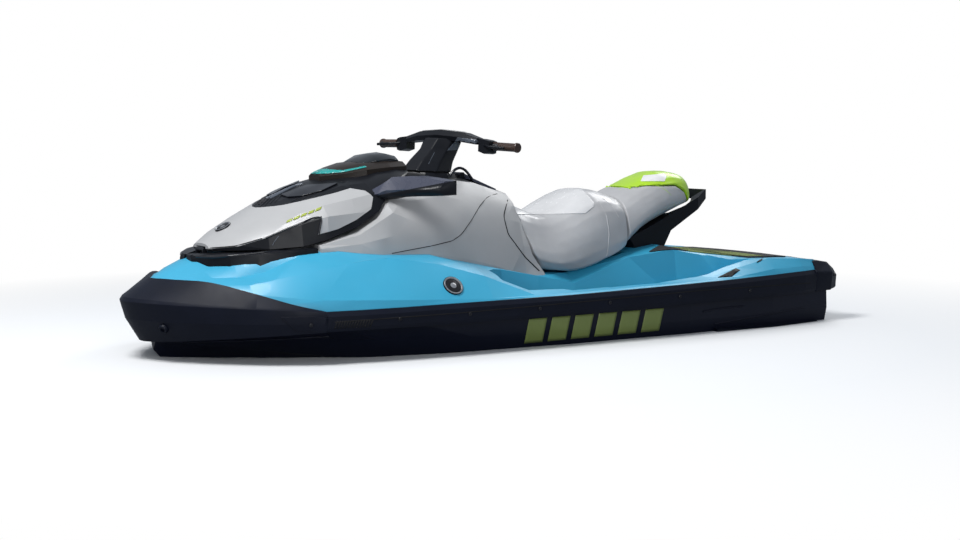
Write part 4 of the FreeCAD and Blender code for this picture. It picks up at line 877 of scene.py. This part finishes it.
# mirrors: a black sheet painted on the lower face as its shade, and the glass that looks aft
placed("mirror details", {
    # a black sheet painted on the mirror's lower face as its shade
    "mirror_lower": {"make": skin, "source": "mirror_port", "body": hoodBody,
                     "material": materials["trim_black"], "lines": [((452, 181.4), (388, 193.4))]},
    "mirror_glass": {"make": draped, "tree": "mirror", "body": hoodBody, "material": mirrorGlass,
                     "sight": "rear", "thickness": 0.0015, "rounding": 0.0008,
                     "outlines": [[(0.325, 0.635), (0.43, 0.635), (0.445, 0.65), (0.44, 0.672), (0.42, 0.682),
                                   (0.33, 0.684)]]},
})

# handlebar pad: its cover is drawn in plan, along the bar and off it, about the pad's middle
barAxis = (middleOf("grip_port") - middleOf("grip_starboard")).normalized()
padMiddle = middleOf("handlebar_pad")
coverPlan = [(-0.125, 0.004), (-0.095, 0.029), (0.095, 0.029), (0.125, 0.004), (0.095, -0.017),
             (-0.095, -0.017)]
coverOutline = [(padMiddle.x + barAxis.x * along + barAxis.y * off,
                 padMiddle.y + barAxis.y * along - barAxis.x * off) for along, off in coverPlan]
placed("handlebar pad details", {
    "pad_cover": {"make": draped, "tree": "pad", "body": steeringBody, "material": materials["shell_grey"],
                  "sight": "top", "lift": 0.001, "thickness": 0.003, "twin": False, "step": 0.01,
                  "rounding": 0.001, "outlines": [coverOutline]},
    "pad_facets": {"make": draped, "tree": "pad", "body": steeringBody, "material": padGrey,
                   "thickness": 0.002, "twin": False, "step": 3, "rounding": 0.001,
                   "outlines": [[(447, 150.5), (458, 137.4), (483, 140.8), (476, 146.4), (462, 149.6)]]},
    # a lighter line painted along the neck's edge as its highlight
    "neck_crease": {"make": bead, "tree": "pad", "body": steeringBody, "material": padGrey, "radius": 0.0012,
                    "twin": False, "lines": [[(434.5, 152.4), (431.5, 158), (428.6, 164)]]},
})

# grips: radius and height of the collar, of one rib as shares of its pitch, and of the cap past the grip's
# length; the ends are the node's points nearest the centre plane and farthest from it
gripShape = {"collar": [(0.0125, 0), (0.0195, 0), (0.0205, 0.002), (0.0205, 0.005), (0.017, 0.007)],
             "inset": 0.003, "ribs": 15, "ribStart": 0.008, "plainLength": 0.018,
             "rib": [(0.0168, 0), (0.0180, 0.2), (0.0180, 0.7), (0.0168, 0.85)],
             "cap": [(0.0205, -0.009), (0.0212, -0.006), (0.0212, -0.001), (0.0195, 0.002), (0, 0.003)],
             "steps": 36, "smooth": 40, "endShare": 12, "fewest": 6}


def gripEnds(name):
    places = sorted((nodes[name].matrix_world @ vertex.co for vertex in nodes[name].data.vertices),
                    key=lambda place: abs(place.y))
    few = max(gripShape["fewest"], len(places) // gripShape["endShare"])
    return [sum(group, Vector()) / few for group in (places[:few], places[-few:])]


def gripPiece(name):
    start, end = gripEnds(name)
    axis = (end - start).normalized()
    length = (end - start).length
    start = start - axis * gripShape["inset"]
    profile = list(gripShape["collar"])
    pitch = (length - gripShape["plainLength"]) / gripShape["ribs"]
    for number in range(gripShape["ribs"]):
        base = gripShape["ribStart"] + pitch * number
        profile += [(radius, base + pitch * share) for radius, share in gripShape["rib"]]
    profile += [(radius, length + beyond) for radius, beyond in gripShape["cap"]]
    bm = bmesh.new()
    turnedOn(bm, profile, start, axis, gripShape["steps"])
    piece = newPiece(name + "_rubber", bm, steeringBody, gripRubber, gripShape["smooth"], True)
    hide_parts(name)


grips = ("grip_port", "grip_starboard")
for name in grips:
    gripPiece(name)
print("grips made:", ", ".join(grips))

# buttons on the pods' rear faces: metres aside of the pod's middle and above it
buttonHead = [(0, 0.0035), (0.0045, 0.0032), (0.006, 0.002), (0.0062, -0.002)]
buttons = {"start_button": {"pod": "control_pod_starboard", "aside": 0.022, "above": 0.004,
                            "tone": colours["start"]},
           "stop_button": {"pod": "control_pod_port", "aside": -0.028, "above": 0.004,
                           "tone": colours["stop"]}}
for name, button in buttons.items():
    podMiddle = middleOf(button["pod"])
    spot = (podMiddle.y + button["aside"], podMiddle.z + button["above"])
    studs(name, seatsOn([spot], "pods", "rear"), buttonHead, steeringBody,
          moulded(name + "Paint", button["tone"], roughness=0.3, grain=0.05))

# boot under the steering neck, guard loops beside the glove lid; both in metres
boot = {"middle": (0.31, 0.7075), "length": 0.112, "width": 0.098, "rise": 0.0525, "points": 24}
bootTurns = [math.radians(360 / boot["points"] * k) for k in range(boot["points"])]
bootRing = [(boot["middle"][0] + boot["length"] * math.cos(turn), boot["width"] * math.sin(turn),
             boot["middle"][1] + boot["rise"] * boot["length"] * math.cos(turn)) for turn in bootTurns]
placed("steering details", {
    "neck_boot": {"make": tube, "body": craft, "material": rubber, "radius": 0.0024, "closed": True,
                  "runs": [bootRing]},
    "guard_loops": {"make": tube, "body": craft, "material": glossBlack, "radius": 0.006, "twin": True,
                    "runs": [[(0.232, 0.088, 0.688), (0.222, 0.088, 0.705), (0.196, 0.088, 0.724),
                              (0.168, 0.088, 0.724), (0.142, 0.088, 0.704), (0.118, 0.088, 0.672)]]},
})

# stern: bolts, drain plugs, tread on the step, bolts of the pump's flange
drainHead = [(0, 0.002), (0.008, 0.002), (0.0085, 0.008), (0.014, 0.008), (0.016, 0.004), (0.022, 0.003),
             (0.024, 0), (0.024, -0.002)]
flange = {"inset": 0.014, "radius": 0.102, "first": 30, "count": 6}
pumpLow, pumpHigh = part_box("pump_housing")
pumpMiddle = Vector((pumpHigh[0], 0, (pumpLow[2] + pumpHigh[2]) / 2))
flangeTurns = [math.radians(flange["first"] + 360 / flange["count"] * k) for k in range(flange["count"])]
flangePlaces = [((pumpMiddle.x - flange["inset"], flange["radius"] * math.sin(turn),
                  pumpMiddle.z + flange["radius"] * math.cos(turn)), (-1, 0, 0)) for turn in flangeTurns]
placed("stern details", {
    "stern_bolts": {"make": studs, "body": craft, "material": darkMetal, "profile": boltHead, "twin": True,
                    "places": seatsOn([(0.38, 0.21), (0.50, 0.21), (0.44, 0.25)], "stern", "rear")},
    "drain_plugs": {"make": studs, "body": craft, "material": rubber, "profile": drainHead, "steps": 28,
                    "twin": True, "places": seatsOn([(0.30, 0.03)], "stern", "rear")},
    "step_tread": {"make": bead, "tree": "step", "body": craft, "material": rubber, "radius": 0.0028,
                   "sight": "top", "twin": False,
                   "lines": rowOfLines((-1.62, -0.30), (0.017, 0), (-1.62, 0.30), (0.017, 0), 6)},
    "pump_bolts": {"make": studs, "body": craft, "material": darkMetal, "profile": boltHead,
                   "places": flangePlaces},
})

# the nodes that no piece replaces get their slot's material
replaced = set(surfaces) | set(grips)
for name, cadNode in nodes.items():
    if name not in replaced:
        cadNode.data.materials.clear()
        cadNode.data.materials.append(materials[slotOf[name]])
print("all nodes finished")


def studioFloor():
    # lit near the craft, and plain white for the camera farther out
    bm = bmesh.new()
    bmesh.ops.create_grid(bm, x_segments=1, y_segments=1, size=studio["floorSize"])
    material = newMaterial("studioFloor", studio["floor"], studio["floorRoughness"])
    tree = material.node_tree.nodes
    place = tree.new("ShaderNodeTexCoord")
    far = tree.new("ShaderNodeVectorMath")
    far.operation = "LENGTH"
    fade = tree.new("ShaderNodeMapRange")
    fade.inputs["From Min"].default_value = studio["fade"][0]
    fade.inputs["From Max"].default_value = studio["fade"][1]
    path = tree.new("ShaderNodeLightPath")
    share = tree.new("ShaderNodeMath")
    share.operation = "MULTIPLY"
    white = tree.new("ShaderNodeEmission")
    mixed = tree.new("ShaderNodeMixShader")
    tone = tree.new("ShaderNodeMix")
    tone.data_type = "RGBA"
    tone.inputs["A"].default_value = (*studio["bounce"], 1)
    tone.inputs["B"].default_value = (*studio["floor"], 1)
    link(material, path.outputs["Is Camera Ray"], tone.inputs["Factor"])
    link(material, tone.outputs["Result"], shaderOf(material).inputs["Base Color"])
    link(material, place.outputs["Object"], far.inputs[0])
    link(material, far.outputs["Value"], fade.inputs["Value"])
    link(material, fade.outputs["Result"], share.inputs[0])
    link(material, path.outputs["Is Camera Ray"], share.inputs[1])
    link(material, share.outputs["Value"], mixed.inputs["Fac"])
    link(material, shaderOf(material).outputs["BSDF"], mixed.inputs[1])
    link(material, white.outputs["Emission"], mixed.inputs[2])
    link(material, mixed.outputs["Shader"], tree["Material Output"].inputs["Surface"])
    mesh = bpy.data.meshes.new("studioFloor")
    bm.to_mesh(mesh)
    bm.free()
    floor = bpy.data.objects.new("studioFloor", mesh)
    mesh.materials.append(material)
    scene.collection.objects.link(floor)


def softLight(name, place, size, power):
    light = bpy.data.lights.new(name, "AREA")
    light.shape = "DISK"
    light.size = size
    light.energy = power
    lamp = bpy.data.objects.new(name, light)
    lamp.location = place
    lamp.rotation_euler = (Vector(studio["aim"]) - Vector(place)).to_track_quat("-Z", "Y").to_euler()
    scene.collection.objects.link(lamp)


def studioSky():
    # a tinted sky lights the craft, the camera sees the plain backdrop
    world = bpy.data.worlds.new("studioSky")
    world.use_nodes = True
    sky = world.node_tree.nodes
    sky["Background"].inputs["Color"].default_value = (*studio["sky"], 1)
    sky["Background"].inputs["Strength"].default_value = studio["skyPower"]
    backdrop = sky.new("ShaderNodeBackground")
    backdrop.inputs["Color"].default_value = (*studio["backdrop"], 1)
    path = sky.new("ShaderNodeLightPath")
    mixed = sky.new("ShaderNodeMixShader")
    link(world, path.outputs["Is Camera Ray"], mixed.inputs["Fac"])
    link(world, sky["Background"].outputs["Background"], mixed.inputs[1])
    link(world, backdrop.outputs["Background"], mixed.inputs[2])
    link(world, mixed.outputs["Shader"], sky["World Output"].inputs["Surface"])
    scene.world = world


lamps = {"key": {"place": (3.2, 0.6, 5.6), "size": 2.4, "power": 330},
         "fill": {"place": (3.0, 6.0, 2.2), "size": 3.0, "power": 85},
         "rear": {"place": (-4.5, -2.0, 4.0), "size": 3.0, "power": 110}}
studioFloor()
for name, lamp in lamps.items():
    softLight(name, **lamp)
studioSky()
scene.view_settings.view_transform = "Standard"

lens = bpy.data.cameras.new("camera")
lens.lens = studio["lens"]
lens.sensor_width = studio["sensor"]
camera = bpy.data.objects.new("camera", lens)
camera.location = studio["camera"]
camera.rotation_euler = look.to_track_quat("-Z", "Y").to_euler()
scene.collection.objects.link(camera)
scene.camera = camera
print("studio ready")
